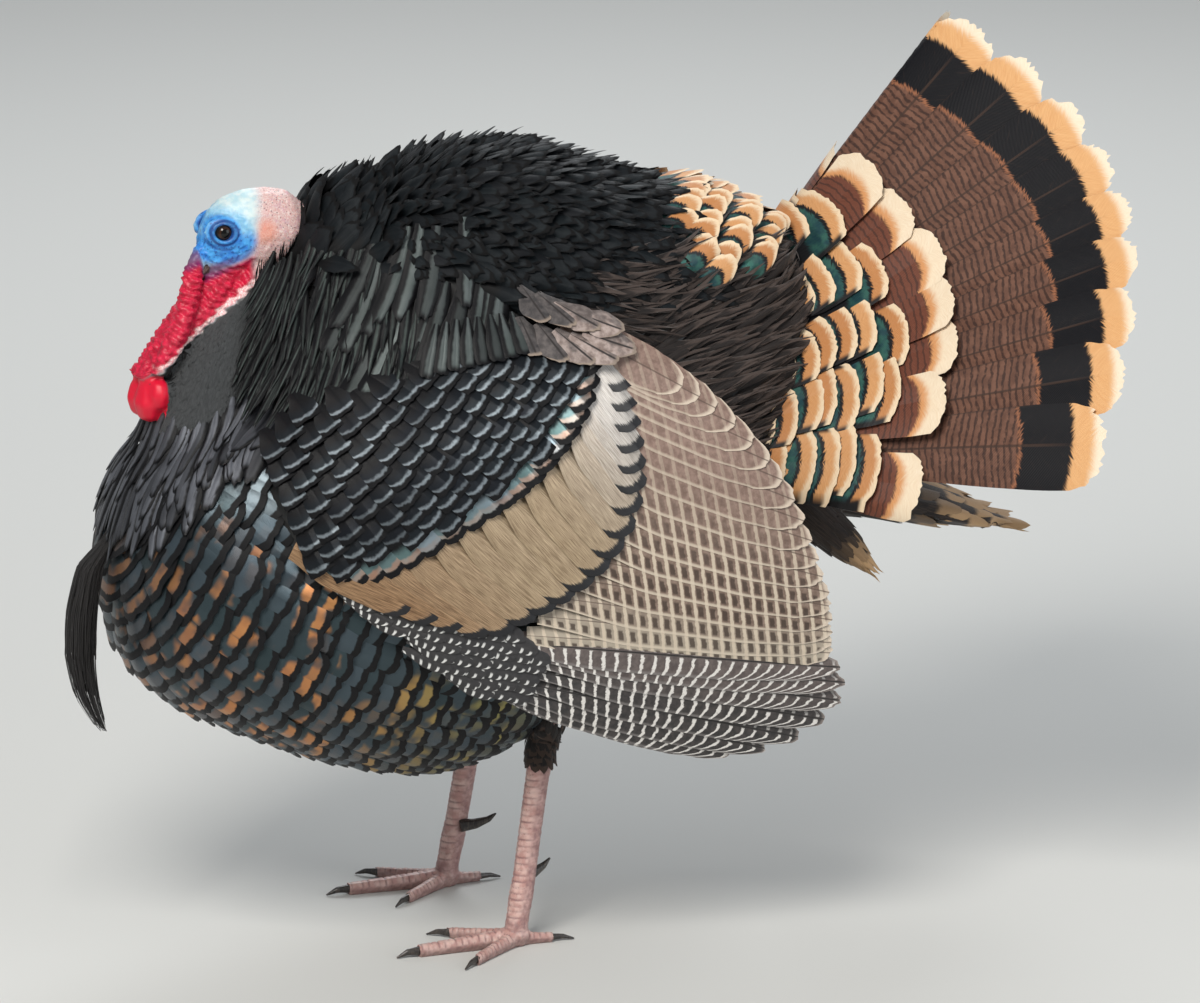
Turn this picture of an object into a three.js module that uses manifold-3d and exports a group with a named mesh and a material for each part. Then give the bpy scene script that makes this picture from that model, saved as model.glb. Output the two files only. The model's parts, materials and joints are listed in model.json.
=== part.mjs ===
// A wild turkey gobbler in full strut, life size, as a museum model.
// Millimetres, +Z up. The bird faces -X, its left side is -Y, and its toes rest on z = 0.
// The solids give the outline to the tips of the plumage; each named piece is one closed body.
import * as THREE from "three";
import { mergeVertices } from "three/addons/utils/BufferGeometryUtils.js";
import Module from "manifold-3d";

const wasm = await Module();
wasm.setup();

// ---------------------------------------------------------------- driving dimensions
const GAP = 0.4; // clearance between two pieces that touch
const LEFT = -1; // sign of y on the bird's left
const STANCE = 85; // foot centre to the middle plane
const EYE = { x: -217, y: 16, z: 586, r: 7.2 };
const TAIL = {
  centre: [159, 0, 373.5], // middle of the arc the quills spring from
  arc: 47, // radius of that arc
  lift: 0.109, // rise of the fan's axis for each unit it runs back
  cone: THREE.MathUtils.degToRad(44), // angle between the axis and the middle feathers
  cup: THREE.MathUtils.degToRad(13.4), // how far the feathers half way down each side lean back
  sweep: THREE.MathUtils.degToRad(85), // from the middle feather to the outermost
  feathers: 18,
  length: 383,
  swell: 0.066, // the feathers half way down each side are longer by this share
  taper: 0.054, // and the outermost are shorter by this share
  root: 64,
  thickness: 3,
};

// ---------------------------------------------------------------- helpers
function solid(geometry) {
  const bare = geometry.clone();
  bare.deleteAttribute("normal");
  bare.deleteAttribute("uv");
  const merged = mergeVertices(bare, 1e-3);
  const vertProperties = merged.attributes.position.array;
  const triVerts = new Uint32Array(merged.index.array);
  const build = () => new wasm.Manifold(new wasm.Mesh({ numProp: 3, vertProperties, triVerts }));
  const made = build();
  if (made.volume() > 0) return made;
  for (let i = 0; i < triVerts.length; i += 3) {
    [triVerts[i + 1], triVerts[i + 2]] = [triVerts[i + 2], triVerts[i + 1]];
  }
  return build();
}

function geometryOf(body) {
  const { numProp, vertProperties, triVerts } = body.getMesh();
  const points = [];
  for (let i = 0; i < vertProperties.length; i += numProp) {
    points.push(vertProperties[i], vertProperties[i + 1], vertProperties[i + 2]);
  }
  const geometry = new THREE.BufferGeometry();
  geometry.setAttribute("position", new THREE.Float32BufferAttribute(points, 3));
  geometry.setIndex([...triVerts]);
  geometry.computeVertexNormals();
  return geometry;
}

// A smooth run through a list of numbers, read at t from 0 to 1.
function run(values, t) {
  const place = Math.min(Math.max(t, 0), 1) * (values.length - 1);
  const i = Math.min(Math.floor(place), values.length - 2);
  const at = (k) => values[Math.min(Math.max(k, 0), values.length - 1)];
  const f = place - i;
  const slopeA = (at(i + 1) - at(i - 1)) / 2;
  const slopeB = (at(i + 2) - at(i)) / 2;
  const rise = at(i + 1) - at(i);
  return at(i) + f * (slopeA + f * (3 * rise - 2 * slopeA - slopeB + f * (slopeA + slopeB - 2 * rise)));
}

// Stations are [x, y, z, half height, half width]. A section stands square to the line of the
// centres in the middle plane, or upright across x if upright is true. grow swells it all round.
function loft(stations, { around = 20, along = 12, upright = false, grow = 0 } = {}) {
  const column = (k) => stations.map((station) => station[k]);
  const [xs, ys, zs, heights, widths] = [0, 1, 2, 3, 4].map(column);
  const centre = (t) => new THREE.Vector3(run(xs, t), run(ys, t), run(zs, t));
  const geometry = new THREE.CylinderGeometry(1, 1, 1, around, along);
  const position = geometry.attributes.position;
  for (let i = 0; i < position.count; i++) {
    const t = 0.5 - position.getY(i);
    const middle = centre(t);
    const ahead = centre(t + 0.02).sub(centre(t - 0.02));
    if (upright) ahead.set(1, 0, 0);
    ahead.y = 0;
    ahead.normalize();
    middle.addScaledVector(ahead, (t < 1e-6 ? -grow : 0) + (t > 1 - 1e-6 ? grow : 0));
    const up = new THREE.Vector3(-ahead.z, 0, ahead.x);
    const high = position.getX(i) * (run(heights, t) + grow);
    const wide = position.getZ(i) * (run(widths, t) + grow);
    middle.addScaledVector(up, high);
    middle.y += wide;
    position.setXYZ(i, middle.x, middle.y, middle.z);
  }
  return solid(geometry);
}

function ball(x, y, z, r, detail = 8) {
  return solid(new THREE.SphereGeometry(r, detail, detail / 2).rotateX(Math.PI / 2).translate(x, y, z));
}

// The biggest of the separate lumps that a cut leaves.
function largest(body) {
  return body.decompose().sort((a, b) => b.volume() - a.volume())[0];
}

function block(x0, x1, y0, y1, z0, z1) {
  const box = new THREE.BoxGeometry(x1 - x0, y1 - y0, z1 - z0);
  return solid(box.translate((x0 + x1) / 2, (y0 + y1) / 2, (z0 + z1) / 2));
}

// ---------------------------------------------------------------- trunk, mantle and rump
const breastAndTrunk = (grow) =>
  loft(
    [
      [-314, 0, 308, 12, 12],
      [-306, 0, 310, 56, 58],
      [-286, 0, 315, 95, 98],
      [-250, 0, 317, 123, 126],
      [-190, 0, 313, 148, 148],
      [-110, 0, 307, 173, 160],
      [-30, 0, 318, 192, 164],
      [26, 0, 342, 188, 162],
      [70, 0, 372, 168, 156],
      [130, 0, 398, 148, 142],
      [195, 0, 424, 126, 118],
      [250, 0, 448, 92, 88],
      [284, 0, 460, 46, 46],
    ],
    { around: 20, along: 13, upright: true, grow },
  );

const hump = (grow) =>
  loft(
    [
      [-166, 0, 516, 34, 38],
      [-148, 0, 515, 60, 62],
      [-118, 0, 511, 86, 86],
      [-70, 0, 506, 118, 108],
      [-15, 0, 503, 136, 120],
      [45, 0, 502, 133, 122],
      [100, 0, 496, 118, 117],
      [150, 0, 490, 106, 107],
      [200, 0, 486, 100, 97],
      [240, 0, 484, 83, 80],
      [262, 0, 481, 58, 54],
    ],
    { around: 18, along: 10, upright: true, grow },
  );

const ruffColumn = (grow) =>
  loft(
    [
      [-128, 0, 392, 76, 108],
      [-130, 0, 430, 78, 112],
      [-120, 0, 480, 76, 106],
      [-112, 0, 525, 72, 92],
      [-102, 0, 562, 60, 70],
      [-92, 0, 590, 46, 48],
      [-86, 0, 607, 22, 24],
    ],
    { around: 16, along: 6, grow },
  );

const body = (grow) => breastAndTrunk(grow).add(hump(grow)).add(ruffColumn(grow));

// ---------------------------------------------------------------- neck and head
const neckColumn = (grow) =>
  loft(
    [
      [-226, 0, 394, 62, 70],
      [-231, 0, 428, 49, 53],
      [-222, 0, 462, 42, 42],
      [-205, 0, 500, 34, 33],
      [-188, 0, 534, 28, 26],
      [-176, 0, 564, 22, 21],
    ],
    { around: 12, along: 5, grow },
  );

const skull = (grow) =>
  loft(
    [
      [-141, 0, 576, 9, 8],
      [-147, 0, 577, 26, 18],
      [-166, 0, 581, 34, 24],
      [-188, 0, 582, 34, 25.5],
      [-208, 0, 578, 35, 23.5],
      [-222, 0, 573, 30, 18.5],
      [-231, 0, 570, 17, 11],
    ],
    { around: 12, along: 7, upright: true, grow },
  );

const eyeBall = (side, grow) => ball(EYE.x, side * EYE.y, EYE.z, EYE.r + grow);

const upperBill = (grow) =>
  loft(
    [
      [-222, 0, 566, 10, 10],
      [-231, 0, 554, 9, 9.5],
      [-240, 0, 540, 6.5, 7.5],
      [-247, 0, 527, 3.4, 4],
      [-249, 0, 519, 1.2, 1.4],
    ],
    { around: 8, along: 4, grow },
  );

const lowerBill = (grow) =>
  loft(
    [
      [-212, 0, 556, 7, 9],
      [-223, 0, 546, 6, 8],
      [-233, 0, 534, 4.5, 6.5],
      [-240, 0, 524, 1.8, 3],
    ],
    { around: 8, along: 3, grow },
  );

const snoodTube = (grow) =>
  loft(
    [
      [-226, -1, 574, 6, 6],
      [-235, -8, 566, 7, 7],
      [-242, -14, 548, 8, 8],
      [-248, -18, 527, 8.5, 8.5],
      [-257, -21, 507, 8.5, 8.5],
      [-267, -21, 487, 8, 8],
      [-275, -19, 470, 5.5, 5.5],
    ],
    { around: 8, along: 8, grow },
  );

const throatWattle = (grow) =>
  loft(
    [
      [-208, 0, 552, 20, 17],
      [-228, 0, 524, 20, 20],
      [-250, 0, 501, 16, 20],
      [-269, 0, 480, 12.5, 18],
      [-279, 0, 464, 12, 16],
    ],
    { around: 8, along: 4, grow },
  );

const caruncleBunch = (grow) => {
  const beads = [
    [-281, -9, 449, 15],
    [-281, 9, 449, 15],
    [-274, -18, 456, 12],
    [-274, 18, 456, 12],
  ];
  return beads
    .map(([x, y, z, r]) => ball(x, y, z, r + grow, 8))
    .reduce((all, bead) => all.add(bead));
};

const beardBrush = (grow) =>
  loft(
    [
      [-298, 0, 404, 5, 7],
      [-311, 0, 372, 8, 10],
      [-322, 0, 330, 11, 13],
      [-332, 0, 285, 13, 15],
      [-333, 0, 240, 12, 14],
      [-324, 0, 206, 8, 9],
      [-312, 0, 182, 2, 3],
    ],
    { around: 8, along: 8, grow },
  );

// ---------------------------------------------------------------- wings
// A wing hangs beside the body as part of one curved envelope. Each feather group is the piece
// of that envelope inside its own outline, drawn in the XZ plane.
const wingEnvelope = (grow) =>
  loft(
    [
      [-262, 0, 300, 300, 96],
      [-225, 0, 300, 300, 132],
      [-171, 0, 300, 300, 158],
      [-100, 0, 300, 300, 177],
      [0, 0, 300, 300, 191],
      [80, 0, 300, 300, 200],
      [150, 0, 300, 300, 206],
      [235, 0, 300, 300, 210],
      [300, 0, 300, 300, 206],
    ],
    { around: 28, along: 7, upright: true, grow },
  );

const SHOULDER = [
  [-214, 408],
  [-196, 352],
  [-146, 328],
  [-62, 376],
  [40, 466],
  [76, 478],
  [70, 500],
  [-6, 518],
  [-108, 484],
];
const GREATER_COVERTS = [
  [-140, 332],
  [-36, 282],
  [32, 308],
  [68, 354],
  [76, 421],
  [82, 470],
  [44, 468],
  [-62, 376],
];
const SECONDARIES = [
  [68, 354],
  [82, 462],
  [142, 424],
  [186, 378],
  [221, 302],
  [219, 254],
  [125, 252],
  [4, 286],
  [32, 306],
];
const PRIMARIES = [
  [-172, 332],
  [-156, 305],
  [-104, 260],
  [-36, 220],
  [32, 194],
  [106, 165],
  [150, 163],
  [194, 175],
  [231, 205],
  [235, 240],
  [219, 252],
  [125, 254],
  [-20, 284],
  [-130, 330],
];

function prism(outline, grow) {
  const points = outline.map(([x, z]) => new THREE.Vector2(x, z));
  const curve = new THREE.SplineCurve([...points, points[0]]);
  const smooth = curve.getPoints(points.length * 2).slice(0, -1);
  const turn = Math.sign(THREE.ShapeUtils.area(smooth));
  const moved = smooth.map((p, i) => {
    const before = smooth.at(i - 1);
    const after = smooth[(i + 1) % smooth.length];
    const outward = new THREE.Vector2(after.y - before.y, before.x - after.x).setLength(grow * turn);
    return outward.add(p);
  });
  const drawn = new THREE.ExtrudeGeometry(new THREE.Shape(moved), {
    depth: 260,
    bevelEnabled: false,
  });
  return solid(drawn.rotateX(Math.PI / 2));
}

function wingPanel(outline, surface, depth, ...neighbours) {
  let panel = prism(outline, 0).intersect(wingEnvelope(surface)).subtract(wingEnvelope(surface - depth));
  for (const neighbour of neighbours) {
    panel = panel.subtract(prism(neighbour, 2 * GAP));
  }
  return largest(panel.subtract(body(3 * GAP)));
}

// ---------------------------------------------------------------- legs
const thighCone = (grow) =>
  loft(
    [
      [20, LEFT * 80, 262, 44, 40],
      [24, LEFT * 82, 222, 33, 30],
      [27, LEFT * 80, 192, 21, 19],
      [29, LEFT * 77, 172, 12, 11],
    ],
    { around: 16, along: 6, grow },
  );

const shank = (grow) =>
  loft(
    [
      [30, LEFT * 77, 186, 9, 8],
      [27, LEFT * 77, 170, 11, 10],
      [22, LEFT * 78, 145, 8.5, 7],
      [14, LEFT * 80, 95, 8, 6.5],
      [6, LEFT * 83, 45, 8, 7],
      [1, LEFT * 84, 20, 10, 10],
      [0, LEFT * 85, 9, 8, 9],
    ],
    { around: 10, along: 8, grow },
  );

// Each toe is [length, turn from straight ahead in degrees, radius at root, radius at tip].
const TOES = {
  middle: [84, 2, 8.6, 5.4],
  inner: [58, -38, 7.8, 5],
  outer: [62, 40, 7.8, 5],
  hind: [30, 176, 6.4, 4.4],
};

function toePoint(name, along, height) {
  const turn = THREE.MathUtils.degToRad(TOES[name][1]);
  return [-Math.cos(turn) * along, LEFT * (STANCE + Math.sin(turn) * along), height];
}

function toe(name, grow) {
  const [length, , root, tip] = TOES[name];
  const stations = [0, 0.2, 0.4, 0.6, 0.8, 1].map((share) => {
    const radius = root + (tip - root) * share;
    const pad = 1 + 0.1 * Math.cos(share * Math.PI * 6);
    return [...toePoint(name, length * share, radius * 0.82), radius * pad, radius * pad];
  });
  return loft(stations, { around: 6, along: 3, grow });
}

function claw(name, grow) {
  const [length, , , tip] = TOES[name];
  const stations = [
    [-3, tip * 0.9, tip * 0.75, tip * 0.7],
    [5, tip * 0.95, tip * 0.62, tip * 0.55],
    [12, tip * 0.7, tip * 0.4, tip * 0.36],
    [18, 1.1, 0.9, 0.9],
  ].map(([beyond, height, high, wide]) => [...toePoint(name, length + beyond, height), high, wide]);
  return loft(stations, { around: 6, along: 2, grow });
}

const floorCut = block(-400, 400, -300, 300, -60, 0);

function foot() {
  let made = ball(0, LEFT * STANCE, 9, 12, 8);
  for (const name of Object.keys(TOES)) {
    made = made.add(toe(name, 0));
  }
  made = made.subtract(shank(GAP)).subtract(floorCut);
  for (const name of Object.keys(TOES)) {
    made = made.subtract(claw(name, GAP));
  }
  return largest(made);
}

const spur = () =>
  loft(
    [
      [8, LEFT * 76, 52, 6, 6],
      [20, LEFT * 71, 54, 4.6, 4.6],
      [30, LEFT * 67, 58, 2.8, 2.8],
      [36, LEFT * 65, 63, 0.9, 0.9],
    ],
    { around: 8, along: 3 },
  ).subtract(shank(GAP));

// ---------------------------------------------------------------- tail
const axis = new THREE.Vector3(1, 0, TAIL.lift).normalize();
const upAxis = new THREE.Vector3(-axis.z, 0, axis.x);
const fanCentre = new THREE.Vector3(...TAIL.centre);

// A place on the fan: turn is the angle round the axis from the middle feather, out the distance
// along the feather from its arc, and raise the height above the under face.
function fanPoint(turn, out, raise) {
  const half = TAIL.cone - TAIL.cup * Math.sin((Math.PI * Math.abs(turn)) / TAIL.sweep);
  const radial = upAxis.clone().multiplyScalar(Math.cos(turn));
  radial.y -= Math.sin(turn);
  const along = axis.clone().multiplyScalar(Math.cos(half)).addScaledVector(radial, Math.sin(half));
  const normal = axis.clone().multiplyScalar(-Math.sin(half)).addScaledVector(radial, Math.cos(half));
  const root = fanCentre.clone().addScaledVector(radial, TAIL.arc);
  return root.addScaledVector(along, out).addScaledVector(normal, raise);
}

// A curved slab on the fan between two turns, from one distance to another that may vary.
function fanSlab(turn0, turn1, inner, outerAt, low, high, columns, rows) {
  const geometry = new THREE.BoxGeometry(1, 1, 1, columns, rows, 1);
  const position = geometry.attributes.position;
  for (let i = 0; i < position.count; i++) {
    const across = position.getX(i) + 0.5;
    const share = position.getY(i) + 0.5;
    const raise = position.getZ(i) > 0 ? high : low;
    const out = inner + (outerAt(across) - inner) * share;
    const point = fanPoint(turn0 + (turn1 - turn0) * across, out, raise);
    position.setXYZ(i, point.x, point.y, point.z);
  }
  return solid(geometry);
}

const featherPitch = (2 * TAIL.sweep) / (TAIL.feathers - 1);
const edgeGap = 0.0032; // turn left free at each side of a feather

function tailFeather(index) {
  const turn = TAIL.sweep - index * featherPitch;
  const share = Math.abs(turn) / TAIL.sweep;
  const reach = TAIL.length * (1 + TAIL.swell * Math.sin(Math.PI * share) - TAIL.taper * share ** 2);
  const half = featherPitch / 2 - edgeGap;
  const round = (across) => reach - 16 * Math.abs(2 * across - 1) ** 2.4;
  return fanSlab(turn - half, turn + half, TAIL.root, round, 0, TAIL.thickness, 4, 1).subtract(body(GAP));
}

// The upper coverts lie on the fan's upper face and are longest in the middle.
function upperCoverts(turn0, turn1) {
  const reachAt = (across) => {
    const turn = turn0 + (turn1 - turn0) * across;
    return 250 - 60 * (Math.abs(turn) / TAIL.sweep) ** 6;
  };
  const low = TAIL.thickness + 4 * GAP;
  return fanSlab(turn0, turn1, TAIL.root, reachAt, low, low + 16, 16, 1).subtract(body(GAP));
}

const underCoverts = (grow) =>
  loft(
    [
      [222, 0, 360, 38, 70],
      [270, 0, 348, 34, 88],
      [322, 0, 334, 26, 92],
      [374, 0, 316, 18, 84],
      [420, 0, 300, 10, 60],
      [436, 0, 294, 4, 34],
    ],
    { around: 14, along: 5, grow },
  );

// A plume at each flank leans out from under the fan.
const flankPlume = (side) =>
  loft(
    [
      [205, side * 78, 376, 26, 30],
      [240, side * 90, 342, 23, 26],
      [275, side * 102, 308, 15, 18],
      [300, side * 110, 282, 3, 5],
    ],
    { around: 10, along: 3 },
  );

// ---------------------------------------------------------------- the pieces, in one group
const COLOURS = {
  plumage: [0x1c1a1b, 0.45, 0.3],
  bronze: [0x6b5238, 0.4, 0.35],
  barred: [0x8a7f74, 0.6, 0],
  fan: [0x6a4632, 0.6, 0],
  covert: [0xb98152, 0.6, 0],
  head_skin: [0xb9d8e6, 0.5, 0],
  red_skin: [0xc4153a, 0.4, 0],
  horn: [0x7d7068, 0.4, 0],
  eye: [0x1a1310, 0.1, 0],
  leg_scale: [0xb98b90, 0.5, 0],
  bristle: [0x15161a, 0.5, 0],
};

const turkey = new THREE.Group();

function add(name, finish, body, mirrored = false) {
  const [color, roughness, metalness] = COLOURS[finish];
  const material = new THREE.MeshStandardMaterial({ color, roughness, metalness });
  const mesh = new THREE.Mesh(geometryOf(body), material);
  mesh.name = name;
  if (mirrored) mesh.scale.y = -1;
  turkey.add(mesh);
  return mesh;
}

function addPair(name, finish, body) {
  add(`${name}_left`, finish, body);
  add(`${name}_right`, finish, body, true);
}

// Body parts: one shape, parted by thin cuts at the breast, the mantle and the rump.
const FAR = 700;
const BREAST_CUT = -120;
const RUMP_CUT = 170;
const MANTLE_CUT = 470;
const whole = body(0).subtract(beardBrush(GAP));
const part = (x0, x1, z0, z1) => whole.intersect(block(x0, x1, -FAR, FAR, z0, z1));
add("breast", "plumage", part(-FAR, BREAST_CUT, 0, MANTLE_CUT));
add("trunk", "plumage", part(BREAST_CUT + GAP, RUMP_CUT, 0, MANTLE_CUT));
add("mantle", "plumage", part(-FAR, RUMP_CUT, MANTLE_CUT + GAP, FAR));
add("rump", "plumage", part(RUMP_CUT + GAP, FAR, 0, FAR));

const bothEyes = (grow) => eyeBall(-1, grow).add(eyeBall(1, grow));
const billAndSnood = (grow) => upperBill(grow).add(lowerBill(grow)).add(snoodTube(grow));
add("head", "head_skin", skull(0).subtract(bothEyes(GAP)).subtract(billAndSnood(GAP)).subtract(body(GAP)));
addPair("eye", "eye", eyeBall(-1, 0));
add("bill_upper", "horn", upperBill(0).subtract(snoodTube(GAP)).subtract(bothEyes(GAP)));
add("bill_lower", "horn", lowerBill(0).subtract(upperBill(GAP)).subtract(snoodTube(GAP)));
add("snood", "red_skin", snoodTube(0));
const neck = neckColumn(0).subtract(skull(GAP)).subtract(body(GAP)).subtract(billAndSnood(GAP));
add("neck", "plumage", neck);
const wattle = throatWattle(0)
  .subtract(neckColumn(GAP))
  .subtract(skull(GAP))
  .subtract(billAndSnood(GAP));
add("wattle", "red_skin", wattle);
const bunch = caruncleBunch(0)
  .subtract(throatWattle(GAP))
  .subtract(neckColumn(GAP))
  .subtract(snoodTube(GAP))
  .subtract(body(GAP));
add("caruncles", "red_skin", largest(bunch));
add("beard", "bristle", beardBrush(0).subtract(neckColumn(GAP)));

addPair("wing_shoulder", "plumage", wingPanel(SHOULDER, 8, 60));
addPair("wing_greater_coverts", "bronze", wingPanel(GREATER_COVERTS, 4, 26, SHOULDER));
addPair("wing_secondaries", "barred", wingPanel(SECONDARIES, -2, 14, SHOULDER, GREATER_COVERTS));
addPair("wing_primaries", "barred", wingPanel(PRIMARIES, -6, 14, SHOULDER, GREATER_COVERTS, SECONDARIES));

addPair("thigh", "plumage", thighCone(0).subtract(body(GAP)).subtract(shank(GAP)));
addPair("shank", "leg_scale", shank(0).subtract(floorCut).subtract(body(GAP)));
addPair("spur", "horn", spur());
addPair("foot", "leg_scale", foot());
for (const name of Object.keys(TOES)) {
  addPair(`claw_${name}`, "horn", claw(name, 0).subtract(floorCut));
}

for (let i = 0; i < TAIL.feathers; i++) {
  add(`tail_feather_${i + 1}`, "fan", tailFeather(i));
}
add("tail_coverts_left", "covert", upperCoverts(0.02, 1.6));
add("tail_coverts_right", "covert", upperCoverts(-1.6, -0.02));
const clearOfFan = [-1, 1].map((side) =>
  fanSlab(side * 1.3, side * (TAIL.sweep + 0.12), TAIL.root, () => 300, -1, 26, 4, 1),
);
const under = underCoverts(0)
  .add(flankPlume(-1))
  .add(flankPlume(1))
  .subtract(body(GAP))
  .subtract(clearOfFan[0])
  .subtract(clearOfFan[1]);
add("undertail_coverts", "covert", largest(under));

// The origin is under the middle of the whole bird, on the floor.
const bounds = new THREE.Box3().setFromObject(turkey);
const middle = bounds.getCenter(new THREE.Vector3());
turkey.position.set(-middle.x, 0, 0);

export default turkey;
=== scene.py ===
# %% [markdown]
# # A gobbler in full strut
#
# The solids of the bird are already built and packed; loading them gives a fixed frame.
# Every surface that is modelled here takes its place from that frame, so a piece is never
# fitted by eye. The bird faces -X, its left side is -Y and its feet stand on z = 0.
# %% Load the frame
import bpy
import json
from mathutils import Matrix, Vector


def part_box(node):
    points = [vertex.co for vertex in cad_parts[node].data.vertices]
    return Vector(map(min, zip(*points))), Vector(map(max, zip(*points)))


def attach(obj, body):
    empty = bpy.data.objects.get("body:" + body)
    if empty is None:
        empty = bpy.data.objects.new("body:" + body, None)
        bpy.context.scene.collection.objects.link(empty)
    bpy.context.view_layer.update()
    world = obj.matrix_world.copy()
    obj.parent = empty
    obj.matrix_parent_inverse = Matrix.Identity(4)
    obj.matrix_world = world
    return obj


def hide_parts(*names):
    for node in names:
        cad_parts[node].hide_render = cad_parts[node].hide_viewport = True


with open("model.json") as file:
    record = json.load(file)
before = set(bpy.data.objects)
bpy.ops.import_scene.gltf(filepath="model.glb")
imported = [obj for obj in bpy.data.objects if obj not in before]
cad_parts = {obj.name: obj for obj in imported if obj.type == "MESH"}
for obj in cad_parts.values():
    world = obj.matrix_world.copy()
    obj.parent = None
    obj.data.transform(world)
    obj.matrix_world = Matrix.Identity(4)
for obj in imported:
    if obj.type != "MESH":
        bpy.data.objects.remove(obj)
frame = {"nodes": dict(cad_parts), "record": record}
print("solids in the frame:", len(frame["nodes"]))

# %% Measures taken from the frame
import json
import math
import bmesh
import bpy
import numpy as np
from mathutils import Matrix, Vector, noise
from mathutils.bvhtree import BVHTree

MM = 0.001
chance = np.random.default_rng(20)
vary = chance.uniform
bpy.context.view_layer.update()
sole = Vector(frame["record"]["mounts"][0]["pos_m"])
HOME = Vector((sole.x, 0, 0))  # the point on the floor midway between the feet
STANCE = abs(sole.y)


def place(x, y, z):
    """A point given in millimetres from the middle of the feet."""
    return HOME + Vector((x, y, z)) * MM


def soft_step(value, low, high):
    t = np.clip((np.asarray(value, float) - low) / (high - low), 0, 1)
    return t * t * (3 - 2 * t)


def smooth_run(xs, ys, at):
    """A curve through (xs, ys) with no kinks, read at many places."""
    xs = np.asarray(xs, float)
    ys = np.asarray(ys, float)
    slope = np.gradient(ys, xs)
    at = np.clip(at, xs[0], xs[-1])
    i = np.clip(np.searchsorted(xs, at) - 1, 0, len(xs) - 2)
    span = xs[i + 1] - xs[i]
    f = (at - xs[i]) / span
    a = 2 * f**3 - 3 * f**2 + 1
    b = f**3 - 2 * f**2 + f
    c = 3 * f**2 - 2 * f**3
    d = f**3 - f**2
    return a * ys[i] + b * slope[i] * span + c * ys[i + 1] + d * slope[i + 1] * span


# %% [markdown]
# ## Light, floor and camera
#
# A museum model stands on a pale floor under large soft lights. Area lights give
# broad highlights that let the sheen of the feathers read. The camera stands at the bird's
# left, a little towards its front and a little above it, far away with a long lens, so the
# outline hardly tapers.
# %% Stage the bird
def make_stage():
    floor_mesh = bpy.data.meshes.new("floor")
    bm = bmesh.new()
    bmesh.ops.create_grid(bm, x_segments=1, y_segments=1, size=14)
    bm.to_mesh(floor_mesh)
    bm.free()
    floor = bpy.data.objects.new("floor", floor_mesh)
    bpy.context.scene.collection.objects.link(floor)
    material = bpy.data.materials.new("pale_floor")
    material.use_nodes = True
    surface = material.node_tree.nodes["Principled BSDF"]
    surface.inputs["Base Color"].default_value = (0.62, 0.62, 0.6, 1)
    surface.inputs["Roughness"].default_value = 0.85
    floor_mesh.materials.append(material)

    world = bpy.data.worlds.new("soft_room")
    world.use_nodes = True
    background = world.node_tree.nodes["Background"]
    background.inputs["Color"].default_value = (0.86, 0.9, 0.95, 1)
    background.inputs["Strength"].default_value = 0.34
    bpy.context.scene.world = world
    bpy.context.scene.view_settings.view_transform = "Standard"


def add_light(name, spot, target, size, power, colour=(1, 1, 1)):
    data = bpy.data.lights.new(name, "AREA")
    data.size = size
    data.energy = power
    data.color = colour
    light = bpy.data.objects.new(name, data)
    bpy.context.scene.collection.objects.link(light)
    light.location = spot
    light.rotation_euler = (Vector(target) - Vector(spot)).to_track_quat("-Z", "Y").to_euler()


VIEW_TURN = math.radians(20)
VIEW_RISE = math.radians(15)
VIEW_WIDTH = 960 * MM  # what the view spans at the bird's middle
SENSOR = 36


def add_camera(distance=7.5):
    level = math.cos(VIEW_RISE)
    towards = Vector((-math.sin(VIEW_TURN) * level, -math.cos(VIEW_TURN) * level, math.sin(VIEW_RISE)))
    aim = place(102, 0, 335)
    data = bpy.data.cameras.new("camera")
    data.sensor_width = SENSOR
    data.lens = SENSOR * distance / VIEW_WIDTH
    camera = bpy.data.objects.new("camera", data)
    bpy.context.scene.collection.objects.link(camera)
    camera.location = aim + towards * distance
    camera.rotation_euler = (-towards).to_track_quat("-Z", "Y").to_euler()
    bpy.context.scene.camera = camera


make_stage()
middle = place(40, 0, 350)
add_light("key", middle + Vector((-1.6, -2.2, 2.6)), middle, 1.5, 128, (1, 0.97, 0.92))
add_light("fill", middle + Vector((2.4, -2.4, 0.9)), middle, 2.2, 34, (0.92, 0.96, 1))
add_light("rim", middle + Vector((1.2, 2.6, 2.4)), middle, 1.8, 60, (0.95, 0.98, 1))
add_camera()
print("camera", [round(v, 2) for v in bpy.context.scene.camera.location])

# %% [markdown]
# ## Shorthand for shader nodes
#
# A finish here is a small network: a few numbers stored on the mesh, some noise, and colour
# mixes. Each helper adds one node and returns its output as a Value. A Value takes the usual
# signs of arithmetic, and each sign adds a Math node, so a finish reads as a sum.
# %% Values of a finish
class Value:
    """The output of one node of a finish."""

    def __init__(self, finish, socket):
        self.finish, self.socket = finish, socket

    def __add__(self, other):
        return self.finish.math("ADD", self, other)

    def __sub__(self, other):
        return self.finish.math("SUBTRACT", self, other)

    def __rsub__(self, other):
        return self.finish.math("SUBTRACT", other, self)

    def __mul__(self, other):
        return self.finish.math("MULTIPLY", self, other)

    def __truediv__(self, other):
        return self.finish.math("DIVIDE", self, other)

    def __pow__(self, other):
        return self.finish.math("POWER", self, other)

    def __abs__(self):
        return self.finish.math("ABSOLUTE", self)


print("a Value takes", "+ - * / ** and abs")

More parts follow.
